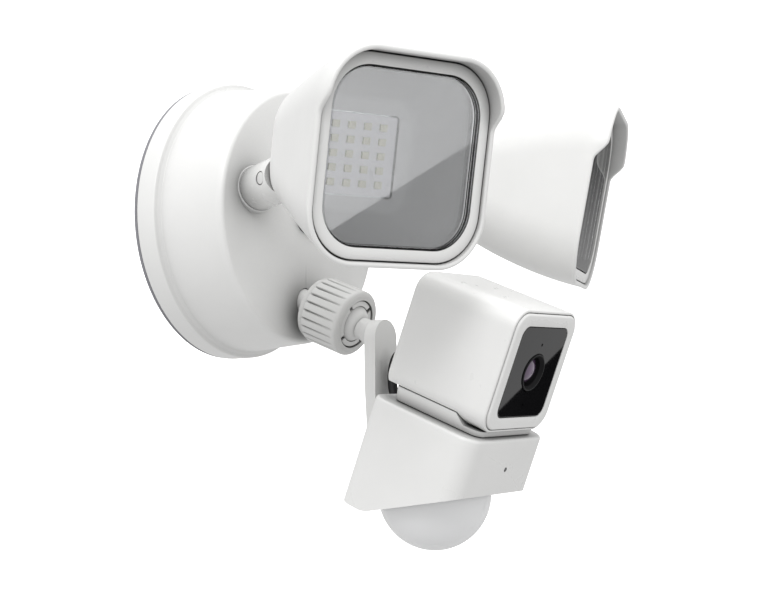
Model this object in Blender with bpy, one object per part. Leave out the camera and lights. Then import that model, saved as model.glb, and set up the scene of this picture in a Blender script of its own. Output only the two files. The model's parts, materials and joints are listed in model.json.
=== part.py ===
"""Floodlight security camera: a wall base, two swivelling LED lamps, and a camera on a ball-joint arm.

World frame: the wall is the plane y = 0, the object stands out toward -Y, and +Z is up. The origin is the
middle of the mounting bracket's back face. Lengths below are in millimetres, and solid() makes them metres.
Every assembly is modelled in a local frame whose x is its width, y its depth toward the wall, z its height.
A turned piece has its axis along z.
"""

import math

import bmesh
import bpy
from mathutils import Matrix, Vector

MM = 0.001
GAP = 0.3  # between pieces that touch

# Base, seen along the wall's normal
FLANGE_RADIUS = 61.8
DRUM_RADIUS = 55.6
FLANGE_DEPTH = 11.2
DRUM_DEPTH = 42.8
FACE_RISE = 1.5
WALL = 2.4

# Lamps: the lens centre, the aim and the section sizes, for the lamp on +X
LAMP_LENS = (77.05, -145.9, 7.3)
LAMP_YAW = 20.3
LAMP_PITCH = 11.0
LAMP_DEPTH = 56.0
RIM_WIDTH = 79.2
RIM_HEIGHT = 77.7
RIM_AHEAD = 1.6
HOOD_AHEAD = 6.8
HOOD_FOOT = (13.0, 22.0)  # heights between which the hood's edge sweeps back to the rim
LENS_WIDTH = 66.0
LENS_HEIGHT = 64.7
LENS_CORNER = 15.5
LED_BOARD_DEPTH = 28.5
LED_PITCH = (7.2, 5.4)
LED_COUNT = (4, 5)
LED_SHIFT = 1.9  # of the chips on the board, away from the middle of the object
KNUCKLE = (4.1, 75.9, -9.7)  # tilt axis from the lens centre; x is toward the middle of the object
KNUCKLE_RADIUS = 10.5
NECK_REACH = 31.0  # from the boss ring to the tilt axis
NECK_RISE = 6.3  # degrees above level
NECK_RADIUS = 9.5
SPIGOT_RADIUS = 6.0

# Ball joint
BALL_CENTRE = (0.0, -66.2, -46.2)
BALL_RADIUS = 8.9
SOCKET_DIP = 20.5  # degrees below level
STEM_DIP = 24.9
NUT_RADIUS = 14.5
NUT_HOLE = 10.7
NUT_FRONT = 5.0
NUT_BACK = -17.0
RIBS = 24

# Arm
ARM_WIDTH = 16.4
ARM_BACK = -80.3
ARM_FRONT = -85.8
ARM_TOP = -54.5  # height of the round top's centre
ARM_FOOT = -112.0
ARM_SCREWS = (("upper", -97.5), ("lower", -107.0))  # their heights

# Camera head: the middle of the camera's front face, and its downward pitch
HEAD_FACE = (0.0, -155.95, -69.38)
HEAD_PITCH = 21.46
CUBE = 50.8
CUBE_DEPTH = 50.0
PLATE = (36.9, 37.5)
FOOT = (2.6, 45.2)  # depths of the foot's front and back
FOOT_TOP = -22.0
FOOT_LIP = -25.7  # top of the foot's thin front, under the camera's front frame
FOOT_BOTTOM = -28.0
RECESS_TOP = -21.6  # underside of the camera over the foot
CAVITY = (-19.6, 23.6)  # heights of the camera's inside
WEDGE_WIDTH = 60.0
WEDGE_TOP = -28.3
WEDGE_FRONT = -0.3
WEDGE_BACK = 51.1
WEDGE_FRONT_LOW = -52.2
WEDGE_SLOPE = -0.572  # of the bottom, in height per depth
WEDGE_CORNER = 7.3
WEDGE_LOW = -74.0  # height of the level part of the bottom, at the back
WEDGE_BEND = 12.0  # radius between the slanted and the level part
WEDGE_WALL = 1.8
DOME_RADIUS = 23.3
DOME_CENTRE = (25.5, -62.65)  # depth and height
DOME_TILT = 24.0
LEAD_HOLE = -38.0  # height of the lead's hole in the sensor housing's back
PLUG_HEIGHT = -14.0  # of the plug on the camera's back, from the lens axis
BUTTON_HEIGHT = 12.0
FOOT_SCREW = 24.0  # depth of the screw that holds the foot on the sensor housing
STATUS_LIGHT = (2.9, -41.5)
HINGE = (43.2, -24.6)  # depth and height of the foot hinge

WHITE = (0.86, 0.86, 0.85)
GREY = (0.62, 0.62, 0.61)
DARK = (0.05, 0.05, 0.055)
STEEL = (0.55, 0.56, 0.57)
GREEN = (0.02, 0.16, 0.08)

parent_frames = {}  # the world frame of every axis empty, by name


def turn(axis, degrees):
    return Matrix.Rotation(math.radians(degrees), 4, axis)


def move(x, y, z):
    """A shift given in millimetres, as a matrix in metres."""
    return Matrix.Translation(Vector((x, y, z)) * MM)


def material(name, colour, roughness, metallic=0.0):
    made = bpy.data.materials.new(name)
    made.use_nodes = True
    shader = made.node_tree.nodes["Principled BSDF"]
    shader.inputs["Base Color"].default_value = (*colour, 1.0)
    shader.inputs["Roughness"].default_value = roughness
    shader.inputs["Metallic"].default_value = metallic
    return made


def solid(name, shape, frame, finish, parent=None, smooth=True):
    """Makes an object from a bmesh in millimetres, standing at a frame and moving with a parent empty."""
    bmesh.ops.recalc_face_normals(shape, faces=shape.faces)
    bmesh.ops.scale(shape, vec=(MM, MM, MM), verts=shape.verts)
    mesh = bpy.data.meshes.new(name)
    shape.to_mesh(mesh)
    shape.free()
    if smooth:
        mesh.shade_smooth()
        mesh.set_sharp_from_angle(angle=math.radians(35))
    made = bpy.data.objects.new(name, mesh)
    bpy.context.scene.collection.objects.link(made)
    if parent:
        made.parent = parent
        made.matrix_basis = parent_frames[parent.name].inverted() @ frame
    else:
        made.matrix_basis = frame
    if finish:
        mesh.materials.append(material(name, *finish))
    return made


def axis_empty(name, frame, parent=None):
    """An empty on a joint's axis. What moves about the joint is parented to it."""
    made = bpy.data.objects.new(name, None)
    made.empty_display_size = 0.01
    bpy.context.scene.collection.objects.link(made)
    if parent:
        made.parent = parent
        made.matrix_basis = parent_frames[parent.name].inverted() @ frame
    else:
        made.matrix_basis = frame
    parent_frames[made.name] = frame
    return made


def cutter(shape, frame):
    """A helper body for a Boolean, left out of the model."""
    made = solid("helper", shape, frame, None, smooth=False)
    made.hide_render = True
    made.display_type = "WIRE"
    return made


def boolean(target, other, operation):
    step = target.modifiers.new(operation.lower(), "BOOLEAN")
    step.operation = operation
    step.object = other
    step.solver = "EXACT"


def cut(target, shape, frame):
    boolean(target, cutter(shape, frame), "DIFFERENCE")


def join(target, shape, frame):
    boolean(target, cutter(shape, frame), "UNION")


def loft(rings, closed=False):
    """A skin over rings of points. A ring of one point is a pole. A closed loft joins its last ring to its first."""
    shape = bmesh.new()
    made = [[shape.verts.new(point) for point in ring] for ring in rings]
    pairs = list(zip(made, made[1:]))
    if closed:
        pairs.append((made[-1], made[0]))
    for low, high in pairs:
        count = max(len(low), len(high))
        for i in range(count):
            j = (i + 1) % count
            if len(low) == 1:
                shape.faces.new((low[0], high[j], high[i]))
            elif len(high) == 1:
                shape.faces.new((low[i], low[j], high[0]))
            else:
                shape.faces.new((low[i], low[j], high[j], high[i]))
    if not closed:
        for ring in (made[0], made[-1]):
            if len(ring) > 1:
                shape.faces.new(ring)
    return shape


def turned(profile, steps, closed=False):
    """A lathe shape from (radius, height) points, about z. A closed profile keeps clear of the axis."""
    rings = []
    for radius, height in profile:
        if radius < 1e-6:
            rings.append([(0.0, 0.0, height)])
            continue
        angles = [2 * math.pi * i / steps for i in range(steps)]
        rings.append([(radius * math.cos(a), radius * math.sin(a), height) for a in angles])
    return loft(rings, closed)


def rod(radius, low, high, steps=20):
    return turned([(0, low), (radius, low), (radius, high), (0, high)], steps)


def tube(outer, inner, low, high, steps=32):
    return turned([(outer, low), (outer, high), (inner, high), (inner, low)], steps, closed=True)


def outline(width, height, corner, corner_steps=4, side_steps=1):
    """A rounded rectangle about the origin, counter-clockwise, with extra points on its two upright sides."""
    half_w, half_h = width / 2, height / 2
    points = []
    centres = ((1, 1, 0), (-1, 1, 90), (-1, -1, 180), (1, -1, 270))
    for index, (sx, sy, start) in enumerate(centres):
        cx, cy = sx * (half_w - corner), sy * (half_h - corner)
        for i in range(corner_steps + 1):
            angle = math.radians(start + 90 * i / corner_steps)
            points.append((cx + corner * math.cos(angle), cy + corner * math.sin(angle)))
        if index in (1, 3):
            reach = half_h - corner
            for i in range(1, side_steps):
                along = 1 - 2 * i / side_steps
                points.append((sx * half_w, sy * reach * along))
    return points


def upright(points, depth):
    """Outline points as a ring that faces along y, at a depth."""
    return [(x, depth, z) for x, z in points]


def slab(points, low, high):
    """An outline drawn in x and z, as deep as from low to high along y."""
    return loft([upright(points, low), upright(points, high)])


def prism(side_view, half=32.0):
    """A body drawn in depth and height, wide enough to cut right across the head."""
    return loft([[(x, y, z) for y, z in side_view] for x in (-half, half)])


def frame_slab(outer, inner, low, high):
    """A flat frame between two outlines that have the same number of points."""
    rings = [upright(outer, low), upright(outer, high), upright(inner, high), upright(inner, low)]
    return loft(rings, closed=True)


def block(size, centre, bevel=0.0):
    shape = bmesh.new()
    bmesh.ops.create_cube(shape, size=1.0)
    bmesh.ops.scale(shape, vec=size, verts=shape.verts)
    bmesh.ops.translate(shape, vec=centre, verts=shape.verts)
    if bevel:
        bmesh.ops.bevel(shape, geom=shape.edges[:], offset=bevel, segments=2, profile=0.5, affect="EDGES")
    return shape


ALONG_X = turn("Y", 90)
ALONG_Y = turn("X", -90)
OUT_OF_WALL = turn("X", 90)


def build_base():
    """The parts that stay on the wall. Their local z runs out of the wall and y runs up."""
    wall = OUT_OF_WALL
    solid("wall_gasket", tube(FLANGE_RADIUS - 0.2, 52.0, 0, 1.6, 40), wall, (DARK, 0.85))

    bracket = solid("mounting_bracket", loft([
        [(x, y, 0) for x, y in outline(98, 24, 11.9, 3)],
        [(x, y, 1.6) for x, y in outline(98, 24, 11.9, 3)],
    ]), wall, (STEEL, 0.4, 1.0))
    join(bracket, rod(6.0, 1.0, 6.0, 6), wall)
    cut(bracket, rod(2.8, 1.9, 7.0, 12), wall)
    for side in (-1, 1):
        cut(bracket, block((13, 4.6, 5), (side * 33, 0, 1)), wall)

    plate = solid("rear_plate", tube(57.6, 7.5, 2.3, 4.3, 28), wall, (GREY, 0.5))
    cut(plate, rod(6.0, 1, 6, 16), wall @ move(0, 24, 0))

    face = DRUM_DEPTH
    profile = [
        (FLANGE_RADIUS, 1.9), (61.5, 9.8), (60.5, FLANGE_DEPTH), (58.7, 12.4),
        (DRUM_RADIUS + 0.3, 40.0), (DRUM_RADIUS - 0.9, 42.0), (53.2, face - 0.2), (47.0, face),
        (24.0, face + 0.8 * FACE_RISE), (7.3, face + FACE_RISE), (7.3, 41.0), (2.9, 41.0),
        (2.9, 38.6), (9.6, 38.6), (9.6, 41.6), (47.0, face - WALL), (52.6, 39.4),
        (56.2, 13.2), (59.2, 9.0), (59.3, 1.9),
    ]
    housing = solid("base_housing", turned(profile, 40, closed=True), wall, (WHITE, 0.35))
    for side in (-1, 1):
        neck = neck_frame(side)
        join(housing, rod(NECK_RADIUS + 0.5, -8.5, -GAP, 18), neck)
        cut(housing, rod(SPIGOT_RADIUS + GAP, -30, 5, 14), neck)
    cut(housing, rod(6.0, -45, -10, 14), joint_frame(SOCKET_DIP))

    solid("driver_board", tube(46.0, 4.0, 10.0, 11.6, 20), wall, (GREEN, 0.5))
    solid("transformer", block((26, 20, 15), (-20, -6, 19.4)), wall, ((0.75, 0.6, 0.1), 0.5))
    solid("capacitor", rod(6.0, 11.9, 29.9, 14), wall @ move(16, -14, 0), (DARK, 0.4))
    solid("terminal_block", block((24, 10, 11), (12, 18, 17.4)), wall, ((0.1, 0.25, 0.12), 0.5))
    bolt = [(0, 2.2), (2.5, 2.2), (2.5, 41.3), (5.0, 41.3), (5.0, 43.2), (0, 43.9)]
    solid("fixing_bolt", turned(bolt, 12), wall, (STEEL, 0.35, 1.0))
    cap = [(0, 44.2), (7.0, 44.2), (7.0, 45.6), (6.3, 46.1), (0, 46.5)]
    solid("bolt_cap", turned(cap, 18), wall, (WHITE, 0.4))


def lamp_frame(side):
    x, y, z = LAMP_LENS
    return move(side * x, y, z) @ turn("Z", side * LAMP_YAW) @ turn("X", LAMP_PITCH)


def tilt_point(side):
    """The lamp's tilt axis at the knuckle, as a frame that stands square to the lamp."""
    x, y, z = KNUCKLE
    return lamp_frame(side) @ move(-side * x, y, z)


def neck_frame(side):
    """At the boss ring, with z out along the neck and x along the tilt axis."""
    place = Matrix.Translation(tilt_point(side).to_translation())
    heading = turn("Z", side * LAMP_YAW) @ turn("X", 90 - NECK_RISE)
    return place @ heading @ move(0, 0, -NECK_REACH)


def lamp_section(depth):
    """Width, height and corner radius of the lamp body at a depth behind the lens."""
    along = depth / 50
    swell = 4 * along * (1 - along)
    width = RIM_WIDTH - 30.2 * along - 2.3 * swell
    height = RIM_HEIGHT - 23.1 * along + 4.4 * swell
    return width, height, 22 - 1.0 * along


def lamp_ring(width, height, corner, depth, hood=0.0):
    """A ring of the lamp body. With a hood, the ring's upper part stands further forward."""
    low, high = HOOD_FOOT
    ring = []
    for x, z in outline(width, height, corner, 4, 7):
        part = min(max((z - low) / (high - low), 0.0), 1.0)
        ring.append((x, depth - hood * part * part * (3 - 2 * part), z))
    return ring


def build_lamp(side):
    word = "left" if side < 0 else "right"
    frame = lamp_frame(side)
    swivel = axis_empty(f"lamp_swivel_axis_{word}", neck_frame(side))
    tilt = axis_empty(f"lamp_tilt_axis_{word}", tilt_point(side), swivel)

    rings = [lamp_ring(37, 42, 15, LAMP_DEPTH), lamp_ring(45.5, 50.5, 19, 54.6), lamp_ring(48.6, 54, 20.6, 52)]
    for depth in (48, 37, 25, 12, 3):
        rings.append(lamp_ring(*lamp_section(depth), depth))
    step = HOOD_AHEAD - RIM_AHEAD
    rings.append(lamp_ring(RIM_WIDTH, RIM_HEIGHT, 21, 0))
    rings.append(lamp_ring(RIM_WIDTH, RIM_HEIGHT + 1.0, 20, -RIM_AHEAD, step))
    rings.append(lamp_ring(RIM_WIDTH - 4.0, RIM_HEIGHT - 3.0, 18.0, -RIM_AHEAD, step))
    rings.append(lamp_ring(75.0, 74.2, 19.2, 2.2))
    for depth in (12, 25, 37, 48):
        width, height, corner = lamp_section(depth)
        rings.append(lamp_ring(width - 4.4, height - 4.4, corner - 2, depth))
    rings.append(lamp_ring(37, 42, 15, 53.4))
    housing = solid(f"lamp_housing_{word}", loft(rings), frame, (WHITE, 0.35), tilt)
    kx, ky, kz = KNUCKLE
    knuckle = frame @ move(-side * kx, ky, kz)
    join(housing, rod(8.6, 0, 20.6, 16), knuckle @ move(0, -21.6, 0) @ ALONG_Y)
    join(housing, rod(KNUCKLE_RADIUS, -7.5, 7.5, 20), knuckle @ ALONG_X)
    cut(housing, block((5.6, 19, 28), (0, 3.2, 0)), knuckle)
    cut(housing, rod(2.2, -9, 9, 10), knuckle @ ALONG_X)
    solid(f"pivot_pin_{word}", rod(1.9, -7.2, 7.2, 10), knuckle @ ALONG_X, (STEEL, 0.3, 1.0), tilt)

    lens_hole = outline(LENS_WIDTH, LENS_HEIGHT, LENS_CORNER, 4)
    bezel = frame_slab(outline(74.2, 73.4, 18.8, 4), lens_hole, -0.2, 1.6)
    solid(f"lamp_bezel_{word}", bezel, frame, (WHITE, 0.35), tilt)
    seal_out = outline(LENS_WIDTH + 3.0, LENS_HEIGHT + 3.0, LENS_CORNER + 1.5, 4)
    seal_in = outline(LENS_WIDTH - 2.4, LENS_HEIGHT - 2.4, LENS_CORNER - 1.2, 4)
    solid(f"lens_seal_{word}", frame_slab(seal_out, seal_in, 1.9, 2.3), frame, (DARK, 0.7), tilt)
    pane = outline(LENS_WIDTH - 1.0, LENS_HEIGHT - 1.0, LENS_CORNER - 0.5, 4)
    solid(f"lamp_lens_{word}", slab(pane, -0.1, 1.5), frame, ((0.7, 0.72, 0.73), 0.05), tilt)

    bowl = [upright(outline(68, 66, 17, 3), 2.6)]
    inside = ((65, 63.6, 15.5, 2.6), (60, 58, 15, 10), (52, 50.4, 13, 18), (43, 42.4, 10, 24.6), (32.2, 31.6, 2, 27.2))
    outside = ((33.6, 33, 2.4, 28.2), (44.6, 44, 10, 25.6), (54, 52.6, 13.4, 19), (62, 60, 15.6, 11), (67, 65, 16.6, 3.8))
    for width, height, corner, depth in inside + outside:
        bowl.append(upright(outline(width, height, corner, 3), depth))
    solid(f"reflector_{word}", loft(bowl, closed=True), frame, (GREY, 0.3), tilt)

    board = solid(f"led_board_{word}", block((31, 30.4, 1.6), (0, 0, 0)), frame @ move(0, LED_BOARD_DEPTH, 0)
                  @ turn("X", 90), (WHITE, 0.5), tilt, smooth=False)
    columns, rows = LED_COUNT
    chips = bmesh.new()
    for column in range(columns):
        for row in range(rows):
            x = (column - (columns - 1) / 2) * LED_PITCH[0] + side * LED_SHIFT
            z = (row - (rows - 1) / 2) * LED_PITCH[1]
            made = bmesh.ops.create_cube(chips, size=1.0)["verts"]
            bmesh.ops.scale(chips, vec=(3.0, 1.6, 2.7), verts=made)
            bmesh.ops.translate(chips, vec=(x, LED_BOARD_DEPTH - 1.0, z), verts=made)
    join(board, chips, frame)
    back = LED_BOARD_DEPTH + 1.2
    spreader = slab(outline(46, 48, 14, 2), back, back + 3)
    solid(f"heat_spreader_{word}", spreader, frame, (STEEL, 0.4, 1.0), tilt)

    neck = neck_frame(side)
    profile = [
        (0, -12), (SPIGOT_RADIUS, -12), (SPIGOT_RADIUS, 0), (NECK_RADIUS - 0.5, 0), (NECK_RADIUS, 0.5),
        (NECK_RADIUS, NECK_REACH - 2), (0, NECK_REACH - 2),
    ]
    body = solid(f"neck_{word}", turned(profile, 24), neck, (WHITE, 0.35), swivel)
    cut(body, rod(KNUCKLE_RADIUS + 0.5, -20, 20, 24), neck @ move(0, 0, NECK_REACH) @ ALONG_X)
    tongue = rod(5.6, -2.4, 2.4, 14)
    join(body, tongue, neck @ move(0, 0, NECK_REACH) @ ALONG_X)
    join(body, block((4.8, 9.6, 18), (0, 0, NECK_REACH - 9)), neck)
    cut(body, rod(2.2, -9, 9, 10), neck @ move(0, 0, NECK_REACH) @ ALONG_X)
    cut(body, rod(2.9, 7.9, 12, 14), neck @ move(0, 0, 16) @ turn("Y", side * 90))
    cap = [(0, 8.2), (2.6, 8.2), (2.6, 9.0), (2.2, 9.3), (0, 9.4)]
    solid(f"screw_cap_{word}", turned(cap, 14), neck @ move(0, 0, 16) @ turn("Y", side * 90), (GREY, 0.5), swivel)


def joint_frame(dip):
    """At the ball's centre, with z out of the wall and down by a dip."""
    return move(*BALL_CENTRE) @ turn("X", 90 + dip)


def build_joint():
    frame = joint_frame(SOCKET_DIP)
    hollow = BALL_RADIUS + GAP
    mouth = 4.5
    cup = [(0, -hollow)]
    for degrees in (-70, -50, -30, -10, 10):
        angle = math.radians(degrees)
        cup.append((hollow * math.cos(angle), hollow * math.sin(angle)))
    cup.append((math.sqrt(hollow ** 2 - mouth ** 2), mouth))
    cup += [(10.3, mouth), (10.3, -16.4), (5.6, -16.4), (5.6, -34.0), (0, -34.0)]
    socket = solid("ball_socket", turned(cup, 24), frame, (WHITE, 0.4))
    for degrees in (45, 135):
        cut(socket, block((30, 1.8, 14), (0, 0, 2.0)), frame @ turn("Z", degrees))

    nut = axis_empty("collar_nut_axis", frame)
    steps = RIBS * 2
    rings = []
    outer = NUT_RADIUS
    levels = (
        (NUT_HOLE, NUT_BACK, 0), (13.3, NUT_BACK, 0), (13.6, NUT_BACK + 0.5, 0), (13.6, NUT_BACK + 3, 0),
        (outer, NUT_BACK + 3.6, 0.75), (outer, NUT_FRONT - 2.2, 0.75), (13.6, NUT_FRONT - 0.6, 0),
        (12.9, NUT_FRONT, 0), (NUT_HOLE, NUT_FRONT, 0),
    )
    for radius, height, groove in levels:
        ring = []
        for i in range(steps):
            angle = 2 * math.pi * i / steps
            here = radius - groove * (i % 2)
            ring.append((here * math.cos(angle), here * math.sin(angle), height))
        rings.append(ring)
    solid("collar_nut", loft(rings, closed=True), frame, (WHITE, 0.45), nut)

    pan = axis_empty("ball_pan_axis", move(*BALL_CENTRE))
    tilt = axis_empty("ball_tilt_axis", move(*BALL_CENTRE), pan)
    stem_frame = joint_frame(STEM_DIP)
    roll = axis_empty("arm_roll_axis", stem_frame, tilt)
    ball = [(0, -BALL_RADIUS)]
    for degrees in (-67, -45, -22, 0, 22, 45, 67):
        angle = math.radians(degrees)
        ball.append((BALL_RADIUS * math.cos(angle), BALL_RADIUS * math.sin(angle)))
    ball.append((0, BALL_RADIUS))
    solid("joint_ball", turned(ball, 18), frame, (WHITE, 0.4), pan)
    slim = 4.8
    stem = [(0, hollow), (2.5, math.sqrt(hollow ** 2 - 2.5 ** 2)), (slim, math.sqrt(hollow ** 2 - slim ** 2))]
    stem += [(slim, 10.0), (5.4, 13.0), (5.4, 17.4), (0, 17.4)]
    solid("ball_stem", turned(stem, 18), stem_frame, (WHITE, 0.4), tilt)
    return roll


def wedge_back(height):
    """World y of the sensor housing's back face, at a world height."""
    low = head_point(WEDGE_BACK, WEDGE_TOP - 50.0)
    high = head_point(WEDGE_BACK, WEDGE_TOP)
    along = (height - low.z) / (high.z - low.z)
    return low.y + (high.y - low.y) * along


def head_point(depth, height):
    """World place in millimetres of a point on the head's middle plane."""
    x, y, z = HEAD_FACE
    return Vector((x, y, z)) + (turn("X", HEAD_PITCH).to_3x3() @ Vector((0, depth, height)))


def head_frame():
    return move(*HEAD_FACE) @ turn("X", HEAD_PITCH)


def screw_frame(height):
    """On the arm's foot, with z straight out of the sensor housing's back."""
    return move(0, wedge_back(height) + 0.5, height) @ turn("X", HEAD_PITCH) @ ALONG_Y


def build_arm(roll):
    pad_top = -93.0
    side_view = [
        (ARM_BACK, ARM_TOP + 12), (ARM_BACK, -74), (ARM_BACK - 0.9, -90), (ARM_BACK, -104),
        (wedge_back(ARM_FOOT) + 3.4, ARM_FOOT), (wedge_back(ARM_FOOT) + 0.5, ARM_FOOT),
        (wedge_back(pad_top) + 0.5, pad_top), (ARM_FRONT, pad_top + 7), (ARM_FRONT, ARM_TOP + 12),
    ]
    half = ARM_WIDTH / 2
    rings = [[(x, y, z) for y, z in side_view] for x in (-half, half)]
    arm = solid("arm", loft(rings), Matrix.Identity(4), (WHITE, 0.4), roll)
    middle = (ARM_TOP + ARM_FOOT) / 2
    length = ARM_TOP - ARM_FOOT
    shape = slab(outline(ARM_WIDTH - 0.02, length + ARM_WIDTH, half - 0.02, 6), -110, -60)
    boolean(arm, cutter(shape, move(0, 0, middle)), "INTERSECT")
    cut(arm, rod(5.8, 8, 17.8, 16), joint_frame(STEM_DIP))
    for word, height in ARM_SCREWS:
        tip = screw_frame(height)
        cut(arm, rod(1.7, -4, 12, 8), tip)
        cut(arm, rod(3.2, 3.2, 16, 12), tip)
        profile = [(0, -7.0), (1.4, -7.0), (1.4, 3.5), (2.8, 3.5), (2.8, 4.8), (0, 5.2)]
        solid(f"arm_screw_{word}", turned(profile, 10), tip, (STEEL, 0.35, 1.0), roll)


def low_edge(depth):
    """Height of the sensor housing's slanted bottom at a depth."""
    return WEDGE_FRONT_LOW + WEDGE_SLOPE * (depth - WEDGE_FRONT)


def wedge_plan(inset, levels):
    """The sensor housing as seen from above, drawn up through (more inset, height) levels."""
    rings = []
    for extra, height in levels:
        total = inset + extra
        length = WEDGE_BACK - WEDGE_FRONT - 2 * total
        points = outline(WEDGE_WIDTH - 2 * total, length, WEDGE_CORNER - 0.7 * total, 5)
        rings.append([(x, y + (WEDGE_FRONT + WEDGE_BACK) / 2, height) for x, y in points])
    return loft(rings)


def wedge_side(inset):
    """All that lies above the bottom, which slants down from the front, bends and runs level to the back."""
    slope = math.atan(-WEDGE_SLOPE)
    floor = WEDGE_LOW + inset
    lift = inset / math.cos(slope)
    radius = WEDGE_BEND - inset
    bend = WEDGE_FRONT + (floor - lift - WEDGE_FRONT_LOW) / WEDGE_SLOPE
    middle = bend + radius * math.tan(slope / 2)
    view = [(-30, 0), (-30, low_edge(-30) + lift)]
    for i in range(5):
        angle = -math.pi / 2 - slope * (1 - i / 4)
        view.append((middle + radius * math.cos(angle), floor + radius + radius * math.sin(angle)))
    view += [(WEDGE_BACK + 2, floor), (WEDGE_BACK + 2, 0)]
    return prism(view, 40)


def build_sensor(roll):
    head = head_frame()
    depth, height = DOME_CENTRE
    centre = head @ move(0, depth, height) @ turn("X", -DOME_TILT)
    levels = ((0, -95), (0, WEDGE_TOP - 1.4), (0.35, WEDGE_TOP - 0.4), (1.2, WEDGE_TOP))
    housing = solid("sensor_housing", wedge_plan(0, levels), head, (WHITE, 0.35), roll)
    boolean(housing, cutter(wedge_side(0), head), "INTERSECT")
    hollow = cutter(wedge_plan(WEDGE_WALL, ((0, -95), (0, WEDGE_TOP - 2.4))), head)
    boolean(hollow, cutter(wedge_side(WEDGE_WALL), head), "INTERSECT")
    boolean(housing, hollow, "DIFFERENCE")
    reach = DOME_RADIUS + 0.4
    ball = [(0, -reach)]
    for degrees in range(-80, 90, 10):
        angle = math.radians(degrees)
        ball.append((reach * math.cos(angle), reach * math.sin(angle)))
    cut(housing, turned(ball + [(0, reach)], 32), centre)
    light = head @ move(STATUS_LIGHT[0], WEDGE_FRONT, STATUS_LIGHT[1]) @ ALONG_Y
    cut(housing, rod(1.9, -33, -27, 10), head @ move(0, FOOT_SCREW, 0))
    cut(housing, rod(3.9, -4, 4, 12), head @ move(0, WEDGE_BACK, LEAD_HOLE) @ ALONG_Y)
    cut(housing, rod(1.0, -4, 4, 8), light)
    for _, height in ARM_SCREWS:
        cut(housing, rod(1.7, -9, 2, 8), screw_frame(height))
    solid("status_light_pipe", rod(0.7, 0.1, 4.5, 8), light, (GREY, 0.2), roll)

    inner = DOME_RADIUS - 1.2
    skin = [(0, -DOME_RADIUS)]
    for degrees in (-70, -50, -30, -12):
        angle = math.radians(degrees)
        skin.append((DOME_RADIUS * math.cos(angle), DOME_RADIUS * math.sin(angle)))
    skin += [
        (DOME_RADIUS, 0), (DOME_RADIUS, 1.5), (DOME_RADIUS + 1.2, 1.5), (DOME_RADIUS + 1.2, 2.5), (inner, 2.5),
        (inner, 0),
    ]
    for degrees in (-12, -30, -50, -70):
        angle = math.radians(degrees)
        skin.append((inner * math.cos(angle), inner * math.sin(angle)))
    skin.append((0, -inner))
    solid("pir_dome", turned(skin, 32), centre, (WHITE, 0.3), roll)

    solid("pir_board", block((36, 30, 1.4), (0, 0, 4.3)), centre, (GREEN, 0.5), roll)
    can = [(0, -1.3), (3.6, -1.3), (4.1, -0.8), (4.1, 3.3), (0, 3.3)]
    for word, x in (("left", -9), ("right", 9)):
        place = centre @ move(x, 0, 0)
        solid(f"pyro_sensor_{word}", turned(can, 12), place, (STEEL, 0.3, 1.0), roll)
    horn = [(0, -45), (10, -45), (11, -44), (11, -36), (9, -35), (0, -35)]
    solid("siren_speaker", turned(horn, 18), head @ move(0, 33, 0), (DARK, 0.5), roll)


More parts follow.
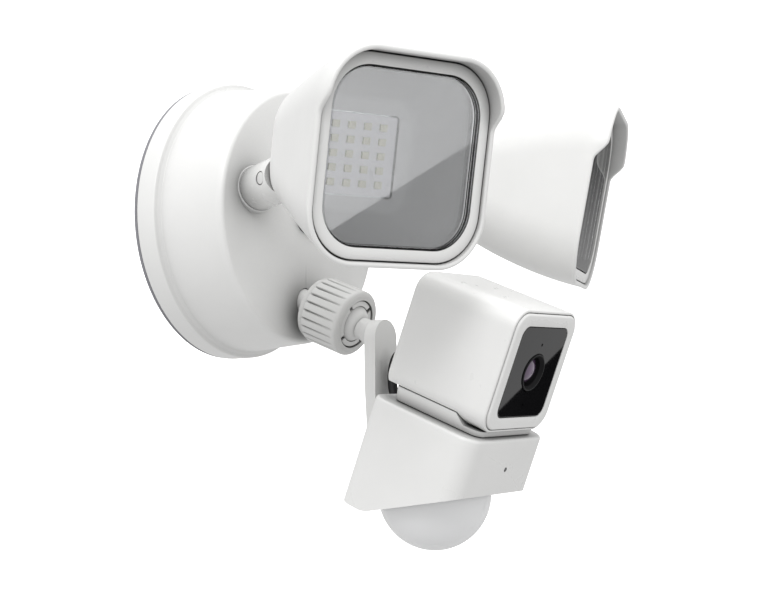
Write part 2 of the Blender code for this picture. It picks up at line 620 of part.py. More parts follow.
def build_camera(roll):
    head = head_frame()
    depth, height = HINGE
    pivot = head @ move(0, depth, height)
    hinge = axis_empty("camera_hinge_axis", pivot, roll)

    foot_mid = (FOOT_TOP + FOOT_BOTTOM) / 2
    front, rear = FOOT
    foot = solid("camera_foot", loft([
        [(x, y + (front + rear) / 2, z) for x, y in outline(width, rear - front, 4.5, 3)]
        for z, width in ((FOOT_BOTTOM, 45.2), (FOOT_TOP, 48.4))
    ]), head, (WHITE, 0.4), roll)
    step = [(-2, FOOT_LIP), (10.3, FOOT_LIP), (14.8, FOOT_TOP + 0.5), (14.8, -18), (-2, -18)]
    cut(foot, prism(step), head)
    cut(foot, block((6.4, 12, 8), (0, depth + 3.2, foot_mid)), head)
    cut(foot, rod(1.2, -9.6, 9.6, 14), pivot @ ALONG_X)
    screw_at = head @ move(0, FOOT_SCREW, 0)
    cut(foot, rod(1.9, -30, -20, 14), screw_at)
    cut(foot, rod(3.5, -27.2, -20, 18), screw_at)
    screw = [(0, -34.5), (1.6, -34.5), (1.6, -26.9), (3.1, -26.9), (3.1, -26.0), (0, -25.9)]
    solid("foot_screw", turned(screw, 12), screw_at, (STEEL, 0.35, 1.0), roll)
    solid("foot_hinge_pin", rod(0.9, -9.2, 9.2, 12), pivot @ ALONG_X, (STEEL, 0.3, 1.0), roll)

    def ring(size, corner, at):
        return upright(outline(size, size, corner, 4), at)

    def inside(width, low, high, corner, at):
        return [(x, at, z + (low + high) / 2) for x, z in outline(width, high - low, corner, 4)]

    back = CUBE_DEPTH
    low, high = CAVITY
    shell = solid("camera_shell", loft([
        ring(CUBE - 0.6, 8.2, 1.0), ring(CUBE, 8.5, 1.7), ring(CUBE, 8.5, back - 3.6),
        ring(CUBE - 1.2, 7.9, back - 1.4), ring(CUBE - 4.2, 6.6, back),
        inside(43.8, low + 0.4, high - 1.7, 5.4, back), inside(43.8, low + 0.4, high - 1.7, 5.4, back - 2.4),
        inside(47.2, low, high, 6.8, back - 4.4), inside(47.2, low, high, 6.8, 7.5),
        ring(CUBE - 3.6, 6.8, 4.0), ring(CUBE - 2.0, 7.6, 3.6), ring(CUBE - 2.0, 7.6, 1.0),
    ], closed=True), head, (WHITE, 0.3), hinge)
    recess = [(9.5, -30), (9.5, -25.5), (14.0, RECESS_TOP), (60, RECESS_TOP), (60, -30)]
    cut(shell, prism(recess), head)
    join(shell, block((5.6, 3.0, 4.0), (0, depth, height + 1.9)), head)
    join(shell, rod(1.6, -2.8, 2.8, 14), pivot @ ALONG_X)
    cut(shell, rod(1.15, -3.5, 3.5, 12), pivot @ ALONG_X)

    bezel = loft([
        ring(CUBE - 2.6, 7.3, 3.3), ring(CUBE - 2.6, 7.3, 0.9), ring(CUBE - 3.6, 6.8, 0.0),
        upright(outline(PLATE[0] + 0.6, PLATE[1] + 0.6, 4.5, 4), 0.0),
        upright(outline(PLATE[0] + 0.6, PLATE[1] + 0.6, 4.5, 4), 1.9),
        upright(outline(PLATE[0] - 3.0, PLATE[1] - 3.0, 2.7, 4), 1.9),
        upright(outline(PLATE[0] - 3.0, PLATE[1] - 3.0, 2.7, 4), 3.3),
    ], closed=True)
    solid("front_bezel", bezel, head, (WHITE, 0.25), hinge)
    face = solid("face_plate", slab(outline(*PLATE, 4.2, 4), 0.2, 1.6), head, (DARK, 0.08), hinge)
    cut(face, rod(8.0, -3, 4, 20), head @ ALONG_Y)
    barrel = [(7.7, -0.3), (7.7, 12.0), (5.4, 12.0), (5.4, 3.6), (6.9, 0.3), (7.1, -0.3)]
    solid("lens_barrel", turned(barrel, 20, closed=True), head @ ALONG_Y, (DARK, 0.3), hinge)
    glass = [(0, 2.0), (2.6, 2.4), (4.9, 3.8), (5.1, 5.5), (0, 5.5)]
    solid("lens_glass", turned(glass, 18), head @ ALONG_Y, ((0.08, 0.05, 0.12), 0.03), hinge)
    solid("sensor_board", block((32, 1.4, 32), (0, 13.2, 0)), head, (GREEN, 0.5), hinge)
    solid("main_board", block((42, 1.4, 38), (0, 30.0, 1.5)), head, (GREEN, 0.5), hinge)

    cover_shape = [(x, z + (low + high - 1.3) / 2) for x, z in outline(43.2, high - low - 2.7, 5.1, 4)]
    cover = solid("camera_rear_cover", slab(cover_shape, back - 1.9, back - 0.3), head, (WHITE, 0.4), hinge)
    button_at = head @ move(0, back, BUTTON_HEIGHT) @ ALONG_Y
    cut(cover, block((9.0, 6, 6.4), (0, back, PLUG_HEIGHT)), head)
    cut(cover, rod(3.3, -6, 6, 14), button_at)
    button = [(0, -2.6), (4.2, -2.6), (4.2, -2.2), (3.0, -2.2), (3.0, 0.2), (2.6, 0.5), (0, 0.6)]
    press = axis_empty("setup_button_axis", button_at, hinge)
    solid("setup_button", turned(button, 12), button_at, (GREY, 0.5), press)

    plug = block((8.4, 10.9, 5.8), (0, back + 3.25, PLUG_HEIGHT), 1.2)
    solid("usb_plug", plug, head, (DARK, 0.6), hinge)
    curve = bpy.data.curves.new("usb_lead", "CURVE")
    curve.dimensions = "3D"
    curve.bevel_depth = 2.0 * MM
    curve.bevel_resolution = 2
    curve.use_fill_caps = True
    controls = [
        Vector((back + 9.0, PLUG_HEIGHT)), Vector((back + 17.5, PLUG_HEIGHT + 0.5)),
        Vector((back + 12.5, LEAD_HOLE + 3)), Vector((back - 0.2, LEAD_HOLE)),
    ]
    count = 12
    spline = curve.splines.new("POLY")
    spline.points.add(count)
    for i, target in enumerate(spline.points):
        t = i / count
        weights = ((1 - t) ** 3, 3 * (1 - t) ** 2 * t, 3 * (1 - t) * t * t, t ** 3)
        y, z = sum((weight * point for weight, point in zip(weights, controls)), Vector((0, 0))) * MM
        target.co = (0.0, y, z, 1.0)
    lead = bpy.data.objects.new("usb_lead", curve)
    bpy.context.scene.collection.objects.link(lead)
    lead.parent = hinge
    lead.matrix_basis = parent_frames[hinge.name].inverted() @ head
    curve.materials.append(material("usb_lead", DARK, 0.6))


def main():
    for old in list(bpy.data.objects):
        bpy.data.objects.remove(old, do_unlink=True)
    build_base()
    for side in (-1, 1):
        build_lamp(side)
    roll = build_joint()
    build_arm(roll)
    build_sensor(roll)
    build_camera(roll)


main()
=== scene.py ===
"""Looks of the floodlight security camera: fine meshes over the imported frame, materials, studio and camera.

World frame: the wall is the plane y = 0, the object stands out toward -Y, and +Z is up. Shapes are drawn in
millimetres in the same local frames as the CAD, and place() makes them metres.
"""

import json
import math

import bmesh
import bpy
from mathutils import Matrix, Vector


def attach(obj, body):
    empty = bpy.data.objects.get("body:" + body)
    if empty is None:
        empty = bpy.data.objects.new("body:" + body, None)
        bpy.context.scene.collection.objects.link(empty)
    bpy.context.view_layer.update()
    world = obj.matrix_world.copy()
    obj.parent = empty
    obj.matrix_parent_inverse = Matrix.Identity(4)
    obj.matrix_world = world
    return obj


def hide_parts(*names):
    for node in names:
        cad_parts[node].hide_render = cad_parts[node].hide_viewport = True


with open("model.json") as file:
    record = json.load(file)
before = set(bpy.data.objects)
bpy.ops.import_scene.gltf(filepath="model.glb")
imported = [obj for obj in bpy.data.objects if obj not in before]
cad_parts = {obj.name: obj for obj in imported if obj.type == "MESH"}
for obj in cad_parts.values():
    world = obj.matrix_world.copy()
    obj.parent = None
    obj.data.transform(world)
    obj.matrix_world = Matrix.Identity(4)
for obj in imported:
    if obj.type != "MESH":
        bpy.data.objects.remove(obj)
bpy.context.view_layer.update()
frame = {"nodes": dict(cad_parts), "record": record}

MM = 0.001

GAP = 0.3  # left between pieces that fit into each other
CREASE = 32.0  # faces that meet at more than this many degrees keep a sharp edge

# Base
FLANGE_RADIUS = 61.8
FACE_DEPTH = 42.8  # of the front face's rim, from the wall
FACE_RISE = 1.5  # from the rim to the middle of the front face
GASKET_INNER = 52.0
GASKET_THICKNESS = 1.6
CAP_RADIUS = 7.0
CAP_SEAT = 41.0  # height of the floor that the bolt's cap sits over

# Lamps, for the one on +X
LAMP_LENS = (77.05, -145.9, 7.3)
LAMP_YAW = 20.3
LAMP_PITCH = 11.0
LAMP_DEPTH = 56.0
LAMP_WALL_DEPTH = 50.0  # where the tapered wall ends and the round tail begins
LAMP_TAPER = (30.2, 23.1)  # lost in width and height from the rim to there
LAMP_SWELL = (-2.3, 4.4)  # hollow of the sides, and crown of the top and bottom
RIM_WIDTH = 79.2
RIM_HEIGHT = 77.7
RIM_AHEAD = 1.6
HOOD_AHEAD = 6.8
HOOD_FOOT = (13.0, 22.0)  # heights between which the hood grows out of the rim
LENS_WIDTH = 66.0
LENS_HEIGHT = 64.7
LENS_CORNER = 15.5
LED_BOARD_DEPTH = 28.5
LED_CHIP = (3.0, 1.0, 2.7)
LED_PITCH = (7.2, 5.4)
LED_COUNT = (4, 5)
LED_SHIFT = 1.9  # of all chips, outward from the board's middle
LIP = 2.0
KNUCKLE = (4.1, 75.9, -9.7)
KNUCKLE_RADIUS = 10.5
KNUCKLE_HALF = 7.5
PIN_HOLE = 2.2
NECK_REACH = 31.0
NECK_RISE = 6.3
NECK_RADIUS = 9.5
SPIGOT_RADIUS = 6.0
NECK_PLUG = (16.0, 2.6)  # place along the neck, and radius

# Ball joint and arm
BALL_CENTRE = (0.0, -66.2, -46.2)
BALL_RADIUS = 8.9
SOCKET_DIP = 20.5
SOCKET_MOUTH = 4.5
SOCKET_RADIUS = 10.3
SOCKET_TAIL = (5.6, -16.4, -34.0)  # radius, and the heights where it starts and ends
STEM_DIP = 24.9
STEM_NECK = 4.8
STEM_RADIUS = 5.4
STEM_END = 17.4
NUT_RADIUS = 14.5
NUT_HOLE = 10.7
NUT_FRONT = 5.0
NUT_BACK = -17.0
RIBS = 24
GROOVE_SPREAD = 0.17  # half a groove's width, as a share of the pitch
ARM_WIDTH = 16.4
ARM_BACK = -80.3
ARM_FRONT = -85.8
ARM_TOP = -54.5
ARM_FOOT = -112.0
ARM_PAD_TOP = -93.0  # where the arm widens to meet the sensor housing
ARM_SCREWS = (-97.5, -107.0)

# Camera head, in depths behind and heights over the middle of the camera's face
HEAD_FACE = (0.0, -155.95, -69.38)
HEAD_PITCH = 21.46
CUBE = 50.8
CUBE_DEPTH = 50.0
CUBE_CORNER = 8.5
PLATE = (36.9, 37.5, 4.2)
LENS_HOLE = 8.0
FOOT = (2.6, 45.2)
FOOT_WIDTH = (45.2, 48.4)  # at its bottom and at its top
FOOT_TOP = -22.0
FOOT_LIP = -25.7
FOOT_BOTTOM = -28.0
FOOT_SCREW = 24.0
RECESS_TOP = -21.6
CAVITY = (-19.6, 23.6)  # lowest and highest inside the camera's case
WEDGE_WIDTH = 60.0
WEDGE_TOP = -28.3
WEDGE_FRONT = -0.3
WEDGE_BACK = 51.1
WEDGE_FRONT_LOW = -52.2
WEDGE_SLOPE = -0.572
WEDGE_CORNER = 7.3
WEDGE_LOW = -74.0
WEDGE_BEND = 12.0
WEDGE_WALL = 1.8
WEDGE_UNDER = -95.0  # below all of it, for shapes that are trimmed to the bottom
DOME_RADIUS = 23.3
DOME_CENTRE = (25.5, -62.65)
DOME_TILT = 24.0
DOME_WALL = 1.2
LEAD_HOLE = -38.0
LEAD_RADIUS = 2.0
PLUG = (8.4, 10.9, 5.8)
PLUG_HEIGHT = -14.0
BUTTON_HEIGHT = 12.0
HINGE = (43.2, -24.6)
MICROPHONE = 11.6
CAMERA_LIGHT = -13.8
STATUS_LIGHT = (2.9, -41.5)

# Studio. A card has corners, and a glow that runs between two (place, strength) pairs along one axis.
CARDS = (
    ("softbox",
     ((152.1, -1288.0, -326.4), (365.1, -1260.7, -122.6), (344.2, -1287.4, -3.8), (108.3, -1347.4, -56.7)),
     ("X", (120, 3.0), (350, 1.1))),
    ("flag_low",
     ((594.7, -397.2, -357.7), (643.2, -399.5, -221.6), (642.8, -331.3, -297.2), (634.7, -319.6, -332.3)),
     ("Z", (-300, 0.0), (-200, 0.0))),
    ("flag_far",
     ((971.5, 58.5, -39.5), (956.0, 119.1, -15.5), (949.9, 55.8, 223.9), (966.3, -8.9, 199.9)),
     ("Z", (-20, 0.55), (150, 0.0))),
)
SKY_BELOW = 0.64
SKY_ABOVE = 0.98
FLOOR = -420
BACKDROP_WAY = -56.3

# Camera position and aim, in metres, and its roll in degrees
VIEW_FROM = (-0.5339, -0.4438, -0.0707)
VIEW_AT = (0.0271, -0.0700, -0.0365)
VIEW_ROLL = -0.5
VIEW_LENS = 70.386


def turn(axis, degrees):
    return Matrix.Rotation(math.radians(degrees), 4, axis)


def move(x, y, z):
    """A shift given in millimetres, as a matrix in metres."""
    return Matrix.Translation(Vector((x, y, z)) * MM)


ALONG_X = turn("Y", 90)
ALONG_Y = turn("X", -90)
OUT_OF_WALL = turn("X", 90)


# ---- shapes

def loft(rings, closed=False):
    """A skin over rings of points. A ring of one point is a pole.

    A closed loft joins its last ring to its first. An open one gets a face over each end.
    """
    shape = bmesh.new()
    made = [[shape.verts.new(point) for point in ring] for ring in rings]
    pairs = list(zip(made, made[1:]))
    if closed:
        pairs.append((made[-1], made[0]))
    for low, high in pairs:
        count = max(len(low), len(high))
        for i in range(count):
            j = (i + 1) % count
            if len(low) == 1:
                shape.faces.new((low[0], high[j], high[i]))
            elif len(high) == 1:
                shape.faces.new((low[i], low[j], high[0]))
            else:
                shape.faces.new((low[i], low[j], high[j], high[i]))
    if not closed:
        for ring in (made[0], made[-1]):
            if len(ring) > 1:
                shape.faces.new(ring)
    return shape


def rounded(points, closed=True, steps=5):
    """A line of (a, b) or (a, b, radius) points, with an arc of that radius in place of each such corner."""
    line = []
    count = len(points)
    for i, point in enumerate(points):
        here = Vector(point[:2])
        radius = point[2] if len(point) > 2 else 0.0
        if not radius or (not closed and i in (0, count - 1)):
            line.append(tuple(here))
            continue
        back = (Vector(points[i - 1][:2]) - here).normalized()
        ahead = (Vector(points[(i + 1) % count][:2]) - here).normalized()
        half = back.angle(ahead) / 2
        centre = here + (back + ahead).normalized() * (radius / math.sin(half))
        first = here + back * (radius / math.tan(half)) - centre
        last = here + ahead * (radius / math.tan(half)) - centre
        sweep = first.angle_signed(last)
        for k in range(steps + 1):
            angle = -sweep * k / steps
            c, s = math.cos(angle), math.sin(angle)
            line.append((centre.x + first.x * c - first.y * s, centre.y + first.x * s + first.y * c))
    return line


def turned(profile, steps=96, closed=False, wave=None):
    """A lathe shape about z from (radius, height) points. wave(angle, radius, height) changes the radius."""
    rings = []
    for radius, height in profile:
        if radius < 1e-6:
            rings.append([(0.0, 0.0, height)])
            continue
        ring = []
        for i in range(steps):
            angle = 2 * math.pi * i / steps
            here = wave(angle, radius, height) if wave else radius
            ring.append((here * math.cos(angle), here * math.sin(angle), height))
        rings.append(ring)
    return loft(rings, closed)


def ball_line(radius, top, steps):
    """A lathe line over a ball, from its lower pole up to an angle in degrees, without its two ends."""
    line = []
    for i in range(1, steps):
        angle = math.radians((top + 90) * i / steps - 90)
        line.append((radius * math.cos(angle), radius * math.sin(angle)))
    return line


def rod(radius, low, high, steps=64, edge=0.0):
    """A solid cylinder about z."""
    corners = [(0, low), (radius, low, edge), (radius, high, edge), (0, high)]
    return turned(rounded(corners, closed=False, steps=3), steps)


def tube(outer, inner, low, high, steps=96, edge=0.3):
    """A ring about z with rounded edges."""
    corners = [(outer, low, edge), (outer, high, edge), (inner, high, edge), (inner, low, edge)]
    return turned(rounded(corners, steps=3), steps, closed=True)


def outline(width, height, corner, corner_steps=12, side_steps=1):
    """A rounded rectangle about the origin, counter-clockwise, with extra points on its two upright sides."""
    half_w, half_h = width / 2, height / 2
    points = []
    centres = ((1, 1, 0), (-1, 1, 90), (-1, -1, 180), (1, -1, 270))
    for index, (sx, sy, start) in enumerate(centres):
        cx, cy = sx * (half_w - corner), sy * (half_h - corner)
        for i in range(corner_steps + 1):
            angle = math.radians(start + 90 * i / corner_steps)
            points.append((cx + corner * math.cos(angle), cy + corner * math.sin(angle)))
        if index in (1, 3):
            reach = half_h - corner
            for i in range(1, side_steps):
                along = 1 - 2 * i / side_steps
                points.append((sx * half_w, sy * reach * along))
    return points


def upright(points, depth):
    """Stands a flat outline up, facing along y."""
    return [(x, depth, z) for x, z in points]


def nested(width, height, corner, section):
    """Rings of one rounded rectangle, one for each (inset, depth) of the section."""
    rings = []
    for inset, depth in section:
        radius = max(corner - inset, 0.3)
        rings.append(upright(outline(width - 2 * inset, height - 2 * inset, radius), depth))
    return rings


def pillow(width, height, corner, low, high, edge):
    """A slab with rounded edges, upright, from depth low to high."""
    corners = [(edge * 2, low), (0, low, edge), (0, high, edge), (edge * 2, high)]
    section = rounded(corners, closed=False, steps=4)
    return loft(nested(width, height, corner, section))


def band(outer, inner, low, high, edge):
    """A flat frame between two rounded rectangles, each (width, height, corner), with small round edges."""
    rings = []
    width, height, corner = outer
    for inset, depth in rounded([(1, low), (0, low, edge), (0, high, edge), (1, high)], False, 3)[1:-1]:
        rings.append(upright(outline(width - 2 * inset, height - 2 * inset, corner - inset), depth))
    width, height, corner = inner
    for inset, depth in rounded([(1, high), (0, high, edge), (0, low, edge), (1, low)], False, 3)[1:-1]:
        rings.append(upright(outline(width + 2 * inset, height + 2 * inset, corner + inset), depth))
    return loft(rings, closed=True)


def block(size, centre, edge):
    """A box, with its edges rounded unless edge is zero."""
    shape = bmesh.new()
    bmesh.ops.create_cube(shape, size=1.0)
    bmesh.ops.scale(shape, vec=size, verts=shape.verts)
    bmesh.ops.translate(shape, vec=centre, verts=shape.verts)
    if edge:
        bmesh.ops.bevel(shape, geom=shape.edges[:], offset=edge, segments=3, profile=0.5, affect="EDGES")
    return shape


def place(name, shape, at):
    """An object from a bmesh in millimetres, standing at a frame."""
    bmesh.ops.recalc_face_normals(shape, faces=shape.faces)
    bmesh.ops.scale(shape, vec=(MM, MM, MM), verts=shape.verts)
    mesh = bpy.data.meshes.new(name)
    shape.to_mesh(mesh)
    shape.free()
    mesh.shade_smooth()
    mesh.set_sharp_from_angle(angle=math.radians(CREASE))
    made = bpy.data.objects.new(name, mesh)
    bpy.context.scene.collection.objects.link(made)
    made.matrix_world = at
    return made


def combine(target, shape, at, operation):
    """Applies a Boolean between a piece and a shape, and bakes the result into the piece's mesh."""
    other = place("helper", shape, at)
    step = target.modifiers.new("step", "BOOLEAN")
    step.operation = operation
    step.solver = "EXACT"
    step.object = other
    bpy.context.view_layer.update()
    graph = bpy.context.evaluated_depsgraph_get()
    mesh = bpy.data.meshes.new_from_object(target.evaluated_get(graph))
    target.modifiers.clear()
    target.data = mesh
    bpy.data.objects.remove(other)
    mesh.set_sharp_from_angle(angle=math.radians(CREASE))


def cut(target, shape, at):
    combine(target, shape, at, "DIFFERENCE")


def join(target, shape, at):
    combine(target, shape, at, "UNION")


def soften(piece, width):
    """Rounds a piece's sharp edges."""
    step = piece.modifiers.new("edges", "BEVEL")
    step.width = width * MM
    step.segments = 3
    step.limit_method = "ANGLE"
    step.angle_limit = math.radians(35)
    step.use_clamp_overlap = True
    step.harden_normals = True


def wear(piece, body, slot, look, *nodes):
    """Gives a piece its body, its material and the CAD nodes it stands for."""
    piece.data.materials.clear()
    piece.data.materials.append(look)
    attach(piece, body)
    if nodes:
        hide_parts(*nodes)
    return piece


# ---- materials

def shader(name, roughness, metallic=0.0, **sockets):
    """A Principled material. Further sockets are given by name, with underscores for spaces."""
    made = bpy.data.materials.new(name)
    made.use_nodes = True
    bsdf = made.node_tree.nodes["Principled BSDF"]
    bsdf.inputs["Roughness"].default_value = roughness
    bsdf.inputs["Metallic"].default_value = metallic
    for socket, value in sockets.items():
        bsdf.inputs[socket.replace("_", " ")].default_value = value
    return made, made.node_tree, bsdf


def noise(tree, scale, detail=4.0, kind="ShaderNodeTexNoise"):
    """A noise whose scale is in features per metre, in the piece's own frame."""
    coordinate = tree.nodes.new("ShaderNodeTexCoord")
    made = tree.nodes.new(kind)
    made.inputs["Scale"].default_value = scale
    if "Detail" in made.inputs:
        made.inputs["Detail"].default_value = detail
    tree.links.new(coordinate.outputs["Object"], made.inputs["Vector"])
    return made.outputs["Fac"] if "Fac" in made.outputs else made.outputs[0]


def ramp(tree, source, *stops):
    """Maps a 0 to 1 value to colours: stops are (position, colour)."""
    made = tree.nodes.new("ShaderNodeValToRGB")
    while len(made.color_ramp.elements) < len(stops):
        made.color_ramp.elements.new(0.5)
    for element, (position, colour) in zip(made.color_ramp.elements, stops):
        element.position = position
        element.color = (*colour, 1.0)
    tree.links.new(source, made.inputs["Fac"])
    return made.outputs["Color"]


def remap(tree, source, start, end, low, high):
    """Maps a value between start and end to one between low and high."""
    made = tree.nodes.new("ShaderNodeMapRange")
    for socket, value in zip(("From Min", "From Max", "To Min", "To Max"), (start, end, low, high)):
        made.inputs[socket].default_value = value
    tree.links.new(source, made.inputs["Value"])
    return made.outputs["Result"]


def spread(tree, source, low, high):
    """Maps the middle stretch of a 0 to 1 value, where most of a noise lies, to a range."""
    return remap(tree, source, 0.3, 0.7, low, high)


def bump(tree, bsdf, source, height):
    """Raises the surface by up to height, in millimetres, where source is high."""
    made = tree.nodes.new("ShaderNodeBump")
    made.inputs["Strength"].default_value = 1.0
    made.inputs["Distance"].default_value = height * MM
    tree.links.new(source, made.inputs["Height"])
    tree.links.new(made.outputs["Normal"], bsdf.inputs["Normal"])


def shades(colour, amount):
    """A darker and a lighter version of a colour."""
    return tuple(c * (1 - amount) for c in colour), tuple(min(c * (1 + amount), 1.0) for c in colour)


def painted_recess_shade(tree, colour, reach, power):
    """Paints shade into a colour: darkens it by ambient occlusion where other surfaces stand closer than
    reach, as in seams and under hoods.
    """
    near = tree.nodes.new("ShaderNodeAmbientOcclusion")
    near.samples = 8
    near.inputs["Distance"].default_value = reach * MM
    tree.links.new(colour, near.inputs["Color"])
    depth = tree.nodes.new("ShaderNodeMath")
    depth.operation = "POWER"
    tree.links.new(near.outputs["AO"], depth.inputs[0])
    depth.inputs[1].default_value = power
    shade = tree.nodes.new("ShaderNodeMixRGB")
    shade.blend_type = "MULTIPLY"
    shade.inputs["Fac"].default_value = 1.0
    tree.links.new(colour, shade.inputs["Color1"])
    tree.links.new(depth.outputs["Value"], shade.inputs["Color2"])
    return shade.outputs["Color"]


def edge_wear(tree, source):
    """Lowers a roughness value on a piece's edges, where handling polishes it."""
    surface = tree.nodes.new("ShaderNodeNewGeometry")
    rubbed = remap(tree, surface.outputs["Pointiness"], 0.52, 0.62, 1.0, 0.72)
    both = tree.nodes.new("ShaderNodeMath")
    both.operation = "MULTIPLY"
    tree.links.new(source, both.inputs[0])
    tree.links.new(rubbed, both.inputs[1])
    return both.outputs["Value"]


def plastic(name, colour, roughness, grain=0.004, grain_scale=2600.0, vary=0.015, shade=(15, 1.0), **sockets):
    """Moulded plastic: a slow drift of tone and gloss, a fine spark-eroded grain, and painted shade in
    recesses.

    grain is its height in millimetres, vary the drift of tone, and shade the (reach, power) of the painted
    shade in recesses, or None for none.
    """
    made, tree, bsdf = shader(name, roughness, **sockets)
    low, high = shades(colour, vary)
    tone = ramp(tree, noise(tree, 45.0, 3.0), (0.3, low), (0.7, high))
    # Painted shade: unless shade is None, the base colour is darkened in recesses by ambient occlusion.
    tree.links.new(painted_recess_shade(tree, tone, *shade) if shade else tone, bsdf.inputs["Base Color"])
    patches = spread(tree, noise(tree, 130.0, 6.0), roughness * 0.9, roughness * 1.12)
    tree.links.new(edge_wear(tree, patches), bsdf.inputs["Roughness"])
    bump(tree, bsdf, noise(tree, grain_scale, 2.0), grain)
    return made


def foam(name, colour):
    """Closed-cell foam."""
    made, tree, bsdf = shader(name, 0.9)
    cells = noise(tree, 1500.0, kind="ShaderNodeTexVoronoi")
    low, high = shades(colour, 0.35)
    tree.links.new(ramp(tree, cells, (0.0, low), (0.8, high)), bsdf.inputs["Base Color"])
    bump(tree, bsdf, cells, 0.15)
    return made


def metal(name, colour, roughness):
    """Turned or rolled metal with fine lines one way."""
    made, tree, bsdf = shader(name, roughness, 1.0)
    coordinate = tree.nodes.new("ShaderNodeTexCoord")
    squeeze = tree.nodes.new("ShaderNodeMapping")
    squeeze.inputs["Scale"].default_value = (1, 1, 12)
    lines = tree.nodes.new("ShaderNodeTexNoise")
    lines.inputs["Scale"].default_value = 700.0
    tree.links.new(coordinate.outputs["Object"], squeeze.inputs["Vector"])
    tree.links.new(squeeze.outputs["Vector"], lines.inputs["Vector"])
    low, high = shades(colour, 0.12)
    streaks = lines.outputs["Fac"]
    tree.links.new(ramp(tree, streaks, (0.3, low), (0.7, high)), bsdf.inputs["Base Color"])
    tree.links.new(spread(tree, streaks, roughness * 0.8, roughness * 1.3), bsdf.inputs["Roughness"])
    bump(tree, bsdf, streaks, 0.006)
    return made


def circuit(name, colour):
    """A printed board: solder mask over a lattice of tracks."""
    made, tree, bsdf = shader(name, 0.4, Coat_Weight=0.3)
    tracks = noise(tree, 420.0, kind="ShaderNodeTexVoronoi")
    low, high = shades(colour, 0.4)
    tree.links.new(ramp(tree, tracks, (0.25, low), (0.4, high)), bsdf.inputs["Base Color"])
    bump(tree, bsdf, tracks, 0.03)
    return made


def pane(name, tint, ior):
    """A clear pane: what is behind shows through, and the surface reflects more at a slant."""
    smudge = 0.006
    made = bpy.data.materials.new(name)
    made.use_nodes = True
    tree = made.node_tree
    tree.nodes.remove(tree.nodes["Principled BSDF"])
    clear = tree.nodes.new("ShaderNodeBsdfTransparent")
    clear.inputs["Color"].default_value = (*tint, 1.0)
    gloss = tree.nodes.new("ShaderNodeBsdfGlossy")
    tree.links.new(spread(tree, noise(tree, 60.0, 5.0), smudge, smudge * 3), gloss.inputs["Roughness"])
    fresnel = tree.nodes.new("ShaderNodeFresnel")
    fresnel.inputs["IOR"].default_value = ior
    both = tree.nodes.new("ShaderNodeMixShader")
    tree.links.new(fresnel.outputs["Fac"], both.inputs["Fac"])
    tree.links.new(clear.outputs["BSDF"], both.inputs[1])
    tree.links.new(gloss.outputs["BSDF"], both.inputs[2])
    tree.links.new(both.outputs["Shader"], tree.nodes["Material Output"].inputs["Surface"])
    return made


LOOKS = {}


def look(kind, name, *values, **sockets):
    LOOKS[name] = kind(name, *values, **sockets)


look(foam, "gasket_foam", (0.20, 0.20, 0.215))
look(metal, "steel", (0.52, 0.53, 0.54), 0.32)
look(plastic, "rear_plate_grey", (0.48, 0.48, 0.47), 0.55, 0.01)
# The shade pairs set painted shade in recesses. white_base is a copy of the white plastic with a longer reach
# of painted shade, for the base.
look(plastic, "white_shell", (0.80, 0.80, 0.79), 0.36, shade=(16, 1.0))
look(plastic, "white_base", (0.81, 0.81, 0.80), 0.36, shade=(34, 0.9))
look(plastic, "white_camera", (0.81, 0.81, 0.80), 0.30, 0.002, shade=(3, 0.5))
look(plastic, "white_joint", (0.76, 0.76, 0.75), 0.42, shade=(5, 0.6))
look(plastic, "nut_white", (0.64, 0.64, 0.63), 0.45, 0.006, shade=(6, 1.0))
look(plastic, "dome_white", (0.92, 0.925, 0.93), 0.16, 0.001, vary=0.01, shade=None,
     Subsurface_Weight=0.2, Subsurface_Radius=(0.006,) * 3, Subsurface_Scale=1.0)
look(plastic, "seal_rubber", (0.16, 0.16, 0.165), 0.7, 0.02)
look(pane, "lamp_glass", (0.95, 0.955, 0.96), 1.6)
look(plastic, "reflector_grey", (0.74, 0.74, 0.74), 0.45, 0.003, shade=None)
look(plastic, "led_board_white", (0.90, 0.89, 0.92), 0.4, 0.006, 900.0, 0.03, None)
# The chips' sides are a darker olive that paints shade on them.
look(plastic, "led_side", (0.50, 0.49, 0.36), 0.5, shade=None)
look(plastic, "led_phosphor", (0.78, 0.76, 0.60), 0.45, 0.02, 1800.0, 0.06, None)
look(metal, "spreader_aluminium", (0.72, 0.73, 0.74), 0.3)
look(plastic, "cap_white", (0.72, 0.72, 0.71), 0.5)
look(circuit, "circuit_green", (0.02, 0.15, 0.07))
look(plastic, "transformer_yellow", (0.70, 0.50, 0.08), 0.45, 0.03, 500.0, 0.15)
look(plastic, "capacitor_sleeve", (0.03, 0.03, 0.035), 0.35)
look(plastic, "terminal_green", (0.05, 0.20, 0.08), 0.45)
look(plastic, "siren_black", (0.02, 0.02, 0.022), 0.5, 0.02)
look(plastic, "light_pipe_clear", (0.08, 0.08, 0.09), 0.15, 0.001)
look(plastic, "face_black", (0.012, 0.012, 0.013), 0.018, 0.0002, 1200.0, 0.1)
look(plastic, "lens_black", (0.006, 0.006, 0.007), 0.5, 0.003, Specular_IOR_Level=0.2)
look(plastic, "camera_glass", (0.13, 0.075, 0.15), 0.03, 0.0003, 600.0, 0.2, Coat_Weight=1.0,
     Coat_Roughness=0.02)
look(plastic, "button_grey", (0.55, 0.55, 0.55), 0.5)
look(plastic, "cable_black", (0.02, 0.02, 0.022), 0.55, 0.02)

# Nodes that no finer piece stands for keep their meshes, so every node gets its detailed material.
for part in frame["record"]["subparts"]:
    slots = frame["nodes"][part["node"]].data.materials
    slots.clear()
    slots.append(LOOKS[part["material_slot"]])


def dress(piece, body, slot, *nodes):
    """As wear(), with the material that is named like the slot."""
    return wear(piece, body, slot, LOOKS[slot], *nodes)


# ---- base

